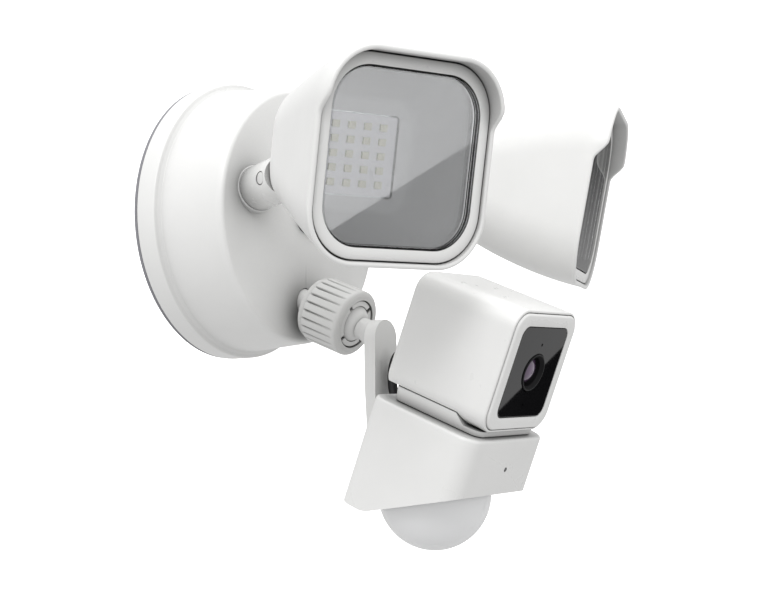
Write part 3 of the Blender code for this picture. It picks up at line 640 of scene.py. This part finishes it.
def neck_frame(side):
    """At the boss ring, with z out along the neck and x along the tilt axis."""
    place_at = Matrix.Translation(tilt_point(side).to_translation())
    return place_at @ turn("Z", side * LAMP_YAW) @ turn("X", 90 - NECK_RISE) @ move(0, 0, -NECK_REACH)


def lamp_frame(side):
    """At the middle of a lamp's lens, with y back into the lamp and z up."""
    x, y, z = LAMP_LENS
    return move(side * x, y, z) @ turn("Z", side * LAMP_YAW) @ turn("X", LAMP_PITCH)


def tilt_point(side):
    """At the middle of a lamp's knuckle, with the lamp's own axes."""
    x, y, z = KNUCKLE
    return lamp_frame(side) @ move(-side * x, y, z)


def joint_frame(dip):
    """At the middle of the joint's ball, with z out of the wall and dipped by an angle."""
    return move(*BALL_CENTRE) @ turn("X", 90 + dip)


def build_base():
    wall = OUT_OF_WALL
    gasket = tube(FLANGE_RADIUS - 0.2, GASKET_INNER, 0, GASKET_THICKNESS, 128, 0.4)
    dress(place("gasket", gasket, wall), "base", "gasket_foam", "wall_gasket")

    face, rise, low = FACE_DEPTH, FACE_RISE, GASKET_THICKNESS + GAP
    flange = [(FLANGE_RADIUS, low, 0.3), (61.5, 10.9, 0.9), (60.0, 11.6, 0.8), (58.6, 12.6, 0.5)]
    drum = [(55.9, 39.6, 8.0), (55.0, face - 0.1, 2.2)]
    front = [(47.0, face), (34.0, face + 0.55 * rise), (20.0, face + 0.88 * rise)]
    seat = [(CAP_RADIUS + GAP, face + rise, 0.3), (CAP_RADIUS + GAP, CAP_SEAT), (2.9, CAP_SEAT), (2.9, 38.6)]
    inner = [(9.6, 38.6), (9.6, 41.6), (47.0, 40.4), (52.6, 39.4), (56.2, 13.2), (59.2, 9.0), (59.3, low)]
    section = rounded(flange + drum + front + seat + inner)
    housing = place("base_shell", turned(section, 160, closed=True), wall)
    for side in (-1, 1):
        neck = neck_frame(side)
        join(housing, rod(NECK_RADIUS + 0.5, -9.5, -GAP, 72, 0.4), neck)
        cut(housing, rod(SPIGOT_RADIUS + GAP, -30, 5, 48), neck)
    cut(housing, rod(SOCKET_TAIL[0] + 0.4, -45, -10, 48), joint_frame(SOCKET_DIP))
    # The base wears the copy of the white plastic with deeper painted shade, which darkens the drum under the
    # lamps.
    wear(housing, "base", "white_shell", LOOKS["white_base"], "base_housing")
    cap = rounded([(0, 44.2), (CAP_RADIUS, 44.2), (CAP_RADIUS, 46.2, 0.8), (0, 46.5)], closed=False)
    dress(place("bolt_plug", turned(cap, 64), wall), "base", "white_shell", "bolt_cap")


# ---- lamps

def lamp_section(depth):
    """Width, height and corner radius of the lamp body at a depth behind the lens."""
    along = depth / LAMP_WALL_DEPTH
    swell = 4 * along * (1 - along)
    width = RIM_WIDTH - LAMP_TAPER[0] * along + LAMP_SWELL[0] * swell
    height = RIM_HEIGHT - LAMP_TAPER[1] * along + LAMP_SWELL[1] * swell
    return width, height, 22 - along


def lamp_ring(width, height, corner, depth, hood=0.0):
    """A ring of the lamp body. With a hood, the ring's upper part stands further forward."""
    low, high = HOOD_FOOT
    ring = []
    for x, z in outline(width, height, corner, 16, 34):
        part = min(max((z - low) / (high - low), 0.0), 1.0)
        ring.append((x, depth - hood * part * part * (3 - 2 * part), z))
    return ring


def lamp_rings():
    """The lamp body's rings: the tail, the outer wall, the lip, and the inner wall back to the tail."""
    rings = []
    tail_width, tail_height, tail_corner = lamp_section(LAMP_WALL_DEPTH)
    edge = LAMP_DEPTH - LAMP_WALL_DEPTH
    for i in range(7):
        angle = math.radians(90 - 15 * i)
        inset = edge * 1.1 * (1 - math.cos(angle))
        depth = LAMP_WALL_DEPTH + edge * math.sin(angle)
        rings.append(lamp_ring(tail_width - 2 * inset, tail_height - 2 * inset, tail_corner - inset, depth))
    for i in range(1, 16):
        depth = LAMP_WALL_DEPTH - (LAMP_WALL_DEPTH - 1) * i / 15
        rings.append(lamp_ring(*lamp_section(depth), depth))
    hood = HOOD_AHEAD - RIM_AHEAD
    for i in range(9):
        angle = math.radians(180 * i / 8)
        inset = LIP / 2 * (1 - math.cos(angle))
        ahead = RIM_AHEAD - 0.9 + 0.9 * math.sin(angle)
        height = RIM_HEIGHT + 1.0
        rings.append(lamp_ring(RIM_WIDTH - 2 * inset, height - 2 * inset, 20.5 - inset, -ahead, hood))
    rings.append(lamp_ring(75.1, 74.5, 19.0, 0.2))
    rings.append(lamp_ring(75.0, 74.2, 19.2, 2.2))
    for depth in (12, 25, 37, 48):
        width, height, corner = lamp_section(depth)
        rings.append(lamp_ring(width - 4.4, height - 4.4, corner - 2, depth))
    rings.append(lamp_ring(37, 42, 15, 53.4))
    return rings


def build_lamp(side):
    """One lamp with its neck. side is 1 for the lamp on +X and -1 for the other."""
    word = "left" if side < 0 else "right"
    at = lamp_frame(side)
    build_lamp_shell(side, word, at)
    build_window(word, at)
    build_reflector(word, at)
    build_leds(side, word, at)
    build_neck(side, word)


def build_lamp_shell(side, word, at):
    """The lamp's bowl, and at its back the fork that takes the neck's tongue."""
    knuckle = tilt_point(side)
    shell = place(f"lamp_shell_{word}", loft(lamp_rings()), at)
    join(shell, rod(8.6, 0, 20.6, 48), knuckle @ move(0, -21.6, 0) @ ALONG_Y)
    join(shell, rod(KNUCKLE_RADIUS, -KNUCKLE_HALF, KNUCKLE_HALF, 72, 0.6), knuckle @ ALONG_X)
    cut(shell, block((5.6, 19, 28), (0, 3.2, 0), 0), knuckle)
    cut(shell, rod(PIN_HOLE, -9, 9, 32), knuckle @ ALONG_X)
    dress(shell, f"{word}_lamp", "white_shell", f"lamp_housing_{word}")


def build_window(word, at):
    """The frame round the lens, the seal that shows as a thin line, and the pane."""
    lamp = f"{word}_lamp"
    lens = (LENS_WIDTH, LENS_HEIGHT, LENS_CORNER)
    bezel = place(f"bezel_{word}", band((74.4, 73.6, 18.8), lens, -0.2, 1.6, 0.35), at)
    dress(bezel, lamp, "white_shell", f"lamp_bezel_{word}")
    seal_out = (LENS_WIDTH + 3.0, LENS_HEIGHT + 3.0, LENS_CORNER + 1.5)
    seal_in = (LENS_WIDTH - 2.4, LENS_HEIGHT - 2.4, LENS_CORNER - 1.2)
    seal = place(f"seal_{word}", band(seal_out, seal_in, 1.9, 2.3, 0.1), at)
    dress(seal, lamp, "seal_rubber", f"lens_seal_{word}")
    glass = pillow(LENS_WIDTH - 1.0, LENS_HEIGHT - 1.0, LENS_CORNER - 0.5, -0.1, 1.5, 0.2)
    dress(place(f"lens_{word}", glass, at), lamp, "lamp_glass", f"lamp_lens_{word}")


def build_reflector(word, at):
    """The tapered inner bowl, drawn through (width, height, corner, depth) rounded rectangles."""
    flange = (68, 66, 17, 2.6)
    inside = ((65, 63.6, 15.5, 2.6), (60, 58, 15, 10), (52, 50.4, 13, 18), (43, 42.4, 10, 24.6),
              (32.2, 31.6, 2, 27.2))
    outside = ((33.6, 33, 2.4, 28.2), (44.6, 44, 10, 25.6), (54, 52.6, 13.4, 19), (62, 60, 15.6, 11),
               (67, 65, 16.6, 3.8))
    bowl = []
    for low, high in zip(inside, inside[1:]):
        for i in range(4):
            width, height, corner, depth = (a + (b - a) * i / 4 for a, b in zip(low, high))
            bowl.append(upright(outline(width, height, corner), depth))
    for width, height, corner, depth in (inside[-1], *outside, flange):
        bowl.append(upright(outline(width, height, corner), depth))
    reflector = place(f"reflector_bowl_{word}", loft(bowl, closed=True), at)
    dress(reflector, f"{word}_lamp", "reflector_grey", f"reflector_{word}")


def build_leds(side, word, at):
    """The board behind the reflector's opening, and a grid of chips whose fronts are phosphor and whose sides
    are coloured darker as painted shade.
    """
    lamp = f"{word}_lamp"
    board = place(f"led_panel_{word}", block((31, 1.6, 30.4), (0, LED_BOARD_DEPTH, 0), 0.25), at)
    dress(board, lamp, "led_board_white", f"led_board_{word}")
    columns, rows = LED_COUNT
    chips = bmesh.new()
    for column in range(columns):
        for row in range(rows):
            x = (column - (columns - 1) / 2) * LED_PITCH[0] + side * LED_SHIFT
            z = (row - (rows - 1) / 2) * LED_PITCH[1]
            made = bmesh.ops.create_cube(chips, size=1.0)["verts"]
            bmesh.ops.scale(chips, vec=LED_CHIP, verts=made)
            bmesh.ops.translate(chips, vec=(x, LED_BOARD_DEPTH - 1.29, z), verts=made)
    bmesh.ops.bevel(chips, geom=chips.edges[:], offset=0.12, segments=2, profile=0.5, affect="EDGES")
    leds = place(f"led_chips_{word}", chips, at)
    # The chips' sides take the darker material with painted shade, and their fronts take the phosphor.
    wear(leds, lamp, "led_board_white", LOOKS["led_side"])
    leds.data.materials.append(LOOKS["led_phosphor"])
    for face in leds.data.polygons:
        if face.normal.y < -0.9:
            face.material_index = 1


def build_neck(side, word):
    """The swivelling neck with its tongue, and the plug over the screw in its side."""
    neck = neck_frame(side)
    profile = rounded([
        (0, -12), (SPIGOT_RADIUS, -12, 0.5), (SPIGOT_RADIUS, 0), (NECK_RADIUS, 0, 0.6),
        (NECK_RADIUS, NECK_REACH - 2), (0, NECK_REACH - 2),
    ], closed=False)
    body = place(f"neck_body_{word}", turned(profile, 96), neck)
    end = neck @ move(0, 0, NECK_REACH) @ ALONG_X
    cut(body, rod(KNUCKLE_RADIUS + 0.5, -20, 20, 96), end)
    join(body, rod(5.6, -2.4, 2.4, 48), end)
    join(body, block((4.8, 9.6, 18), (0, 0, NECK_REACH - 9), 0), neck)
    cut(body, rod(PIN_HOLE, -9, 9, 32), end)
    along, radius = NECK_PLUG
    plug = neck @ move(0, 0, along) @ turn("Y", side * 90)
    cut(body, rod(radius + GAP, 7.9, 12, 48), plug)
    soften(body, 0.4)
    dress(body, f"{word}_neck", "white_shell", f"neck_{word}")
    cap = rounded([(0, 8.2), (radius, 8.2), (radius, 9.2, 0.4), (0, 9.4)], closed=False)
    dress(place(f"neck_plug_{word}", turned(cap, 48), plug), f"{word}_neck", "cap_white", f"screw_cap_{word}")


# ---- ball joint

def groove_depth(height):
    """The nut's grooves start near its back and grow shallow toward its front."""
    start, end = NUT_BACK + 3.2, NUT_FRONT - 2.0
    if not start < height < end:
        return 0.0
    along = (height - start) / (end - start)
    return 1.0 - 0.65 * along


def ribbed(angle, radius, height):
    """The nut's radius round a section: broad flat ribs with narrow grooves between them."""
    if radius < NUT_RADIUS - 0.6:
        return radius
    phase = (angle * RIBS / (2 * math.pi)) % 1.0
    off = min(phase, 1 - phase)
    dip = max(0.0, 1 - off / GROOVE_SPREAD)
    return radius - groove_depth(height) * dip * dip * (3 - 2 * dip)


def build_joint():
    """The split socket, the collar nut, the ball, and the stem that carries the arm."""
    at = joint_frame(SOCKET_DIP)
    hollow = BALL_RADIUS + GAP
    mouth, wide = SOCKET_MOUTH, SOCKET_RADIUS
    slim, back, end = SOCKET_TAIL
    lip = math.sqrt(hollow ** 2 - mouth ** 2)
    cup = [(0, -hollow)] + ball_line(hollow, math.degrees(math.asin(mouth / hollow)), 12)
    outer = [(lip, mouth), (wide, mouth, 0.4), (wide, back, 0.4), (slim, back), (slim, end), (0, end)]
    cup += rounded(outer, closed=False, steps=3)
    socket = place("socket", turned(cup, 96), at)
    for degrees in (45, 135):
        cut(socket, block((30, 1.8, 14), (0, 0, 2.0), 0), at @ turn("Z", degrees))
    dress(socket, "base", "white_joint", "ball_socket")

    collar = [(NUT_HOLE, NUT_BACK, 0.4), (13.5, NUT_BACK, 0.6), (13.6, NUT_BACK + 2.6, 0.3)]
    collar.append((NUT_RADIUS, NUT_BACK + 3.1, 0.3))
    front = [(NUT_RADIUS, NUT_FRONT - 0.8, 1.6), (12.6, NUT_FRONT, 0.8), (NUT_HOLE, NUT_FRONT, 0.5)]
    levels = rounded(collar, closed=False, steps=4)
    for i in range(1, 16):
        levels.append((NUT_RADIUS, NUT_BACK + 3.2 + (NUT_FRONT - NUT_BACK - 5.4) * i / 16))
    levels += rounded([levels[-1]] + front, closed=False, steps=5)[1:]
    nut = place("ribbed_nut", turned(levels, RIBS * 16, closed=True, wave=ribbed), at)
    dress(nut, "nut", "nut_white", "collar_nut")

    ball = [(0, -BALL_RADIUS), *ball_line(BALL_RADIUS, 90, 24), (0, BALL_RADIUS)]
    dress(place("ball", turned(ball, 64), at), "ball", "white_joint", "joint_ball")

    neck, thick, end = STEM_NECK, STEM_RADIUS, STEM_END
    stem = [(0, hollow), (2.5, math.sqrt(hollow ** 2 - 2.5 ** 2))]
    side = [(neck, math.sqrt(hollow ** 2 - neck ** 2)), (neck, 10.0, 1.5), (thick, 13.0, 1.5)]
    stem += rounded(side + [(thick, end), (0, end)], closed=False)
    dress(place("stem", turned(stem, 64), joint_frame(STEM_DIP)), "stem", "white_joint", "ball_stem")


# ---- arm and camera head

def head_frame():
    """At the middle of the camera's face, with y back into the camera and z up along the face."""
    return move(*HEAD_FACE) @ turn("X", HEAD_PITCH)


def head_point(depth, height):
    """World place in millimetres of a point on the head's middle plane."""
    return Vector(HEAD_FACE) + turn("X", HEAD_PITCH).to_3x3() @ Vector((0, depth, height))


def wedge_back(height):
    """World y of the sensor housing's back face, at a world height."""
    low = head_point(WEDGE_BACK, WEDGE_TOP - 50.0)
    high = head_point(WEDGE_BACK, WEDGE_TOP)
    along = (height - low.z) / (high.z - low.z)
    return low.y + (high.y - low.y) * along


def screw_frame(height):
    """On the sensor housing's back at a world height, with z straight out of it toward the wall."""
    return move(0, wedge_back(height) + 0.5, height) @ turn("X", HEAD_PITCH) @ ALONG_Y


def build_arm():
    """The flat bar between ball stem and sensor housing, with a pad that lies along the housing's back."""
    pad = ARM_PAD_TOP
    side_view = [
        (ARM_BACK, ARM_TOP + 12), (ARM_BACK, -74), (ARM_BACK - 0.9, -90), (ARM_BACK, -104),
        (wedge_back(ARM_FOOT) + 3.4, ARM_FOOT), (wedge_back(ARM_FOOT) + 0.5, ARM_FOOT),
        (wedge_back(pad) + 0.5, pad), (ARM_FRONT, pad + 7), (ARM_FRONT, ARM_TOP + 12),
    ]
    half = ARM_WIDTH / 2
    bar = loft([[(x, y, z) for y, z in side_view] for x in (-half, half)])
    arm = place("arm_bar", bar, Matrix.Identity(4))
    front_view = outline(ARM_WIDTH - 0.02, ARM_TOP - ARM_FOOT + ARM_WIDTH, half - 0.02, 32)
    shape = loft([upright(front_view, y) for y in (-110, -60)])
    combine(arm, shape, move(0, 0, (ARM_TOP + ARM_FOOT) / 2), "INTERSECT")
    cut(arm, rod(STEM_RADIUS + 0.4, 8, STEM_END + 0.4, 64), joint_frame(STEM_DIP))
    for height in ARM_SCREWS:
        tip = screw_frame(height)
        cut(arm, rod(1.7, -4, 12, 32), tip)
        cut(arm, rod(3.2, 3.2, 16, 48), tip)
    soften(arm, 0.7)
    dress(arm, "head", "white_joint", "arm")


def low_edge(depth):
    """Height of the sensor housing's slanted bottom at a depth."""
    return WEDGE_FRONT_LOW + WEDGE_SLOPE * (depth - WEDGE_FRONT)


def wedge_plan(inset, levels):
    """The sensor housing as seen from above, drawn up through (more inset, height) levels."""
    rings = []
    for extra, height in levels:
        total = inset + extra
        length = WEDGE_BACK - WEDGE_FRONT - 2 * total
        points = outline(WEDGE_WIDTH - 2 * total, length, WEDGE_CORNER - 0.7 * total)
        rings.append([(x, y + (WEDGE_FRONT + WEDGE_BACK) / 2, height) for x, y in points])
    return loft(rings)


def prism(side_view):
    """A body drawn in depth and height, wide enough to cut right across the head."""
    return loft([[(x, y, z) for y, z in side_view] for x in (-40, 40)])


def wedge_side(inset):
    """All that lies above the bottom, which slants down from the front, bends and runs level to the back."""
    slope = math.atan(-WEDGE_SLOPE)
    floor = WEDGE_LOW + inset
    lift = inset / math.cos(slope)
    radius = WEDGE_BEND - inset
    bend = WEDGE_FRONT + (floor - lift - WEDGE_FRONT_LOW) / WEDGE_SLOPE
    middle = bend + radius * math.tan(slope / 2)
    view = [(-30, 0), (-30, low_edge(-30) + lift)]
    for i in range(17):
        angle = -math.pi / 2 - slope * (1 - i / 16)
        view.append((middle + radius * math.cos(angle), floor + radius + radius * math.sin(angle)))
    view += [(WEDGE_BACK + 2, floor), (WEDGE_BACK + 2, 0)]
    return prism(view)


def back_to_shape(piece):
    """Takes a piece apart into a bmesh in millimetres."""
    shape = bmesh.new()
    shape.from_mesh(piece.data)
    bpy.data.objects.remove(piece)
    bmesh.ops.scale(shape, vec=(1 / MM,) * 3, verts=shape.verts)
    return shape


def build_sensor():
    """The sensor housing with its status light, and the motion dome that bulges out of its bottom."""
    head = head_frame()
    depth, height = DOME_CENTRE
    centre = head @ move(0, depth, height) @ turn("X", -DOME_TILT)

    top = rounded([(0, WEDGE_TOP - 4), (0, WEDGE_TOP, 1.3), (4, WEDGE_TOP)], closed=False)[:-1]
    housing = place("sensor_shell", wedge_plan(0, [(0, WEDGE_UNDER)] + top), head)
    combine(housing, wedge_side(0), head, "INTERSECT")
    hollow = place("hollow", wedge_plan(WEDGE_WALL, ((0, WEDGE_UNDER), (0, WEDGE_TOP - 2.4))), head)
    combine(hollow, wedge_side(WEDGE_WALL), head, "INTERSECT")
    cut(housing, back_to_shape(hollow), head)
    reach = DOME_RADIUS + GAP
    cut(housing, turned([(0, -reach), *ball_line(reach, 90, 48), (0, reach)], 128), centre)
    light = head @ move(STATUS_LIGHT[0], WEDGE_FRONT, STATUS_LIGHT[1]) @ ALONG_Y
    cut(housing, rod(3.9, -4, 4, 48), head @ move(0, WEDGE_BACK, LEAD_HOLE) @ ALONG_Y)
    cut(housing, rod(1.0, -4, 4, 24), light)
    soften(housing, 0.4)
    dress(housing, "head", "white_shell", "sensor_housing")
    pipe = rounded([(0, 0.1), (0.7, 0.1, 0.2), (0.7, 4.5), (0, 4.5)], closed=False, steps=3)
    dress(place("light_pipe", turned(pipe, 24), light), "head", "light_pipe_clear", "status_light_pipe")

    outer, inner, rim = DOME_RADIUS, DOME_RADIUS - DOME_WALL, DOME_RADIUS + 1.2
    collar = [(outer, 0), (outer, 1.5), (rim, 1.5), (rim, 2.5), (inner, 2.5), (inner, 0)]
    inside = ball_line(inner, 0, 32)[::-1]
    skin = [(0, -outer), *ball_line(outer, 0, 32), *collar, *inside, (0, -inner)]
    dress(place("dome", turned(skin, 128), centre), "head", "dome_white", "pir_dome")


def square(size, corner, at):
    """A ring for the camera's case, at a depth."""
    return upright(outline(size, size, corner), at)


def build_camera():
    head = head_frame()
    pivot = head @ move(0, *HINGE)
    build_case(head, pivot)
    build_front(head)
    build_back(head)
    build_foot(head, pivot)
    plug = place("plug_boot", block(PLUG, (0, CUBE_DEPTH + 3.25, PLUG_HEIGHT), 1.2), head)
    dress(plug, "camera", "cable_black", "usb_plug")
    build_lead(head, CUBE_DEPTH)


def build_case(head, pivot):
    """The hollow case, open at the back, with a raised underside and a lug for the hinge."""
    depth, height = HINGE
    back = CUBE_DEPTH
    low, high = CAVITY

    def inside(width, bottom, top, corner, at):
        return [(x, at, z + (bottom + top) / 2) for x, z in outline(width, top - bottom, corner)]

    rings = []
    for inset, at in rounded([(1.0, 1.0), (0, 1.0, 0.7), (0, back, 3.0), (4, back)], closed=False)[:-1]:
        rings.append(square(CUBE - 2 * inset, CUBE_CORNER - inset, at))
    rings.append(inside(44.2, low + 0.2, high - 1.5, 5.6, back))
    rings += [inside(43.8, low + 0.4, high - 1.7, 5.4, at) for at in (back - 0.3, back - 2.4)]
    rings += [inside(47.2, low, high, 6.8, at) for at in (back - 4.4, 7.5)]
    rings += [square(CUBE - 3.6, 6.8, 4.0), square(CUBE - 2.0, 7.6, 3.6)]
    shell = place("camera_case", loft(rings, closed=True), head)
    step = rounded([(9.5, -30), (9.5, -25.5, 1.5), (14.0, RECESS_TOP, 1.5), (60, RECESS_TOP), (60, -30)])
    cut(shell, prism(step), head)
    join(shell, block((5.6, 3.0, 4.0), (0, depth, height + 1.9), 0), head)
    join(shell, rod(1.6, -2.8, 2.8, 32), pivot @ ALONG_X)
    cut(shell, rod(1.15, -3.5, 3.5, 32), pivot @ ALONG_X)
    dress(shell, "camera", "white_camera", "camera_shell")


def build_front(head):
    """The frame round the face, the black plate with its two small holes, and the lens in its ring."""
    width, height, corner = PLATE
    rings = []
    for inset, at in rounded([(0.0, 3.3), (0.0, 0.0, 1.1), (4.0, 0.0)], closed=False)[:-1]:
        rings.append(square(CUBE - 2.6 - 2 * inset, 7.3 - inset, at))
    hole = [(-2.0, 0.0), (0.0, 0.0, 0.3), (0.0, 1.9), (1.8, 1.9), (1.8, 3.3)]
    for inset, at in rounded(hole, closed=False, steps=3)[1:]:
        less = 2 * (inset - GAP)
        rings.append(upright(outline(width - less, height - less, corner + GAP - inset), at))
    bezel = place("camera_bezel", loft(rings, closed=True), head)
    dress(bezel, "camera", "white_camera", "front_bezel")

    plate = place("camera_plate", pillow(width, height, corner, 0.2, 1.6, 0.15), head)
    cut(plate, rod(LENS_HOLE, -3, 4, 96), head @ ALONG_Y)
    for at in (MICROPHONE, CAMERA_LIGHT):
        cut(plate, rod(0.6, -1, 1.2, 24), head @ move(0, 0, at) @ ALONG_Y)
    dress(plate, "camera", "face_black", "face_plate")
    outer = LENS_HOLE - GAP
    bore = [(5.4, 12.0), (5.4, 3.6), (6.1, 2.6), (6.2, 1.2), (6.7, 0.6), (7.1, -0.3, 0.15)]
    barrel = turned(rounded([(outer, -0.3, 0.3), (outer, 12.0)] + bore, steps=3), 96, closed=True)
    dress(place("lens_ring", barrel, head @ ALONG_Y), "camera", "lens_black", "lens_barrel")
    front, curve = 0.7, 8.4
    glass = [(0, front)]
    for i in range(1, 13):
        angle = math.radians(40) * i / 12
        glass.append((curve * math.sin(angle), front + curve * (1 - math.cos(angle))))
    glass += [(5.2, 3.6), (5.2, 5.5), (0, 5.5)]
    dress(place("front_lens", turned(glass, 64), head @ ALONG_Y), "camera", "camera_glass", "lens_glass")


def build_back(head):
    """The cover that closes the case, with openings for the plug and the button, and the button."""
    back = CUBE_DEPTH
    low, high = CAVITY
    middle = head @ move(0, 0, (low + high - 1.3) / 2)
    cover = place("camera_back", pillow(43.2, high - low - 2.7, 5.1, back - 1.9, back - 0.3, 0.3), middle)
    button_at = head @ move(0, back, BUTTON_HEIGHT) @ ALONG_Y
    cut(cover, block((PLUG[0] + 0.6, 6, PLUG[2] + 0.6), (0, back, PLUG_HEIGHT), 1.2), head)
    cut(cover, rod(3.0 + GAP, -6, 6, 48), button_at)
    dress(cover, "camera", "white_camera", "camera_rear_cover")
    button = [(0, -2.6), (4.2, -2.6), (4.2, -2.2), (3.0, -2.2), (3.0, 0.4, 0.4), (0, 0.6)]
    button = place("set_button", turned(rounded(button, closed=False), 48), button_at)
    dress(button, "button", "button_grey", "setup_button")


def build_foot(head, pivot):
    """The foot under the camera's raised part, with a slot for the hinge's lug and a hole for its screw."""
    front, rear = FOOT
    low, high = FOOT_BOTTOM, FOOT_TOP
    narrow, wide = FOOT_WIDTH
    rings = []
    for inset, at in rounded([(3, low), (0, low, 0.3), (0, high, 0.5), (3, high)], False, 3):
        width = narrow + (wide - narrow) * (at - low) / (high - low)
        points = outline(width - 2 * inset, rear - front - 2 * inset, 4.5 - inset)
        rings.append([(x, y + (front + rear) / 2, at) for x, y in points])
    foot = place("camera_base", loft(rings), head)
    step = [(-2, FOOT_LIP), (10.3, FOOT_LIP, 1.5), (14.8, high + 0.5), (14.8, -18), (-2, -18)]
    cut(foot, prism(rounded(step)), head)
    cut(foot, block((6.4, 12, 8), (0, HINGE[0] + 3.2, (high + low) / 2), 0), head)
    cut(foot, rod(1.2, -9.6, 9.6, 32), pivot @ ALONG_X)
    screw_at = head @ move(0, FOOT_SCREW, 0)
    cut(foot, rod(1.9, -30, -20, 32), screw_at)
    cut(foot, rod(3.5, -27.2, -20, 48), screw_at)
    dress(foot, "head", "white_joint", "camera_foot")


def build_lead(head, back):
    """The short lead that loops from the camera's plug into the sensor housing."""
    ends = (
        Vector((back + 9.0, PLUG_HEIGHT)), Vector((back + 17.5, PLUG_HEIGHT + 0.5)),
        Vector((back + 12.5, LEAD_HOLE + 3)), Vector((back - 0.2, LEAD_HOLE)),
    )
    count = 40
    rings = []
    for i in range(count + 1):
        t = i / count
        weights = ((1 - t) ** 3, 3 * (1 - t) ** 2 * t, 3 * (1 - t) * t * t, t ** 3)
        slopes = (-3 * (1 - t) ** 2, 3 * (1 - t) * (1 - 3 * t), 3 * t * (2 - 3 * t), 3 * t * t)
        middle = sum((w * p for w, p in zip(weights, ends)), Vector((0, 0)))
        along = sum((w * p for w, p in zip(slopes, ends)), Vector((0, 0))).normalized()
        ring = []
        for k in range(24):
            angle = 2 * math.pi * k / 24
            up = LEAD_RADIUS * math.sin(angle)
            ring.append((LEAD_RADIUS * math.cos(angle), middle.x - along.y * up, middle.y + along.x * up))
        rings.append(ring)
    dress(place("lead", loft(rings), head), "camera", "cable_black", "usb_lead")


# ---- studio

def build_stage():
    """A pale floor that curves up into a backdrop on the far side of the object."""
    made, tree, bsdf = shader("studio_white", 0.9)
    low, high = shades((0.9, 0.9, 0.9), 0.01)
    tree.links.new(ramp(tree, noise(tree, 3.0), (0.3, low), (0.7, high)), bsdf.inputs["Base Color"])
    bsdf.inputs["Emission Color"].default_value = (1, 1, 1, 1)
    bsdf.inputs["Emission Strength"].default_value = 1.0
    across = rounded([(-6000, FLOOR), (2500, FLOOR, 900), (2500, 4200)], closed=False, steps=16)
    shape = bmesh.new()
    rows = [[shape.verts.new((x, y, z)) for y, z in across] for x in (-7000, 7000)]
    for i in range(len(across) - 1):
        shape.faces.new((rows[0][i], rows[0][i + 1], rows[1][i + 1], rows[1][i]))
    stage = place("studio", shape, turn("Z", BACKDROP_WAY))
    stage.data.materials.append(made)
    stage.visible_diffuse = False
    stage.visible_glossy = False


def build_card(name, corners, glow):
    """A flat card that only shows where the lamps' panes and the camera's plate mirror it."""
    axis, (first, first_glow), (last, last_glow) = glow
    made, tree, bsdf = shader(name, 1.0, Specular_IOR_Level=0.0)
    where = tree.nodes.new("ShaderNodeTexCoord")
    apart = tree.nodes.new("ShaderNodeSeparateXYZ")
    tree.links.new(where.outputs["Object"], apart.inputs["Vector"])
    run = remap(tree, apart.outputs[axis], first * MM, last * MM, first_glow, last_glow)
    tree.links.new(run, bsdf.inputs["Emission Strength"])
    bsdf.inputs["Base Color"].default_value = (0, 0, 0, 1)
    bsdf.inputs["Emission Color"].default_value = (1, 1, 1, 1)
    shape = bmesh.new()
    shape.faces.new([shape.verts.new(corner) for corner in corners])
    sheet = place(name, shape, Matrix.Identity(4))
    sheet.data.materials.append(made)
    for kind in ("camera", "diffuse", "transmission", "volume_scatter", "shadow"):
        setattr(sheet, "visible_" + kind, False)


def area(name, at, aim, size, power):
    """A rectangular white lamp of the studio, placed in metres, which the view does not show."""
    data = bpy.data.lights.new(name, "AREA")
    data.shape = "RECTANGLE"
    data.size, data.size_y = size
    data.energy = power
    made = bpy.data.objects.new(name, data)
    bpy.context.scene.collection.objects.link(made)
    made.location = at
    made.rotation_euler = (Vector(aim) - Vector(at)).to_track_quat("-Z", "Y").to_euler()
    made.visible_camera = False


def build_light():
    """A white sky that is paler above, and two large lamps over the object."""
    world = bpy.data.worlds.new("world")
    bpy.context.scene.world = world
    world.use_nodes = True
    tree = world.node_tree
    back = tree.nodes["Background"]
    back.inputs["Color"].default_value = (1, 1, 1, 1)
    where = tree.nodes.new("ShaderNodeTexCoord")
    apart = tree.nodes.new("ShaderNodeSeparateXYZ")
    tree.links.new(where.outputs["Generated"], apart.inputs["Vector"])
    tree.links.new(remap(tree, apart.outputs["Z"], -1.0, 1.0, SKY_BELOW, SKY_ABOVE), back.inputs["Strength"])
    middle = (0, -0.09, -0.03)
    area("key", (-1.3, -0.5, 1.1), middle, (0.9, 0.9), 11)
    area("top", (0.1, -0.2, 1.5), middle, (1.4, 1.0), 8)


def build_camera_view():
    data = bpy.data.cameras.new("view")
    data.lens = VIEW_LENS
    data.sensor_width = 36.0
    data.clip_end = 50.0
    made = bpy.data.objects.new("view", data)
    bpy.context.scene.collection.objects.link(made)
    aim = (Vector(VIEW_AT) - Vector(VIEW_FROM)).to_track_quat("-Z", "Y").to_matrix().to_4x4()
    made.matrix_world = Matrix.Translation(VIEW_FROM) @ aim @ turn("Z", VIEW_ROLL)
    bpy.context.scene.camera = made


build_base()
for lamp_side in (-1, 1):
    build_lamp(lamp_side)
build_joint()
build_arm()
build_sensor()
build_camera()
build_stage()
for card in CARDS:
    build_card(*card)
build_light()
build_camera_view()
bpy.context.scene.view_settings.view_transform = "Standard"
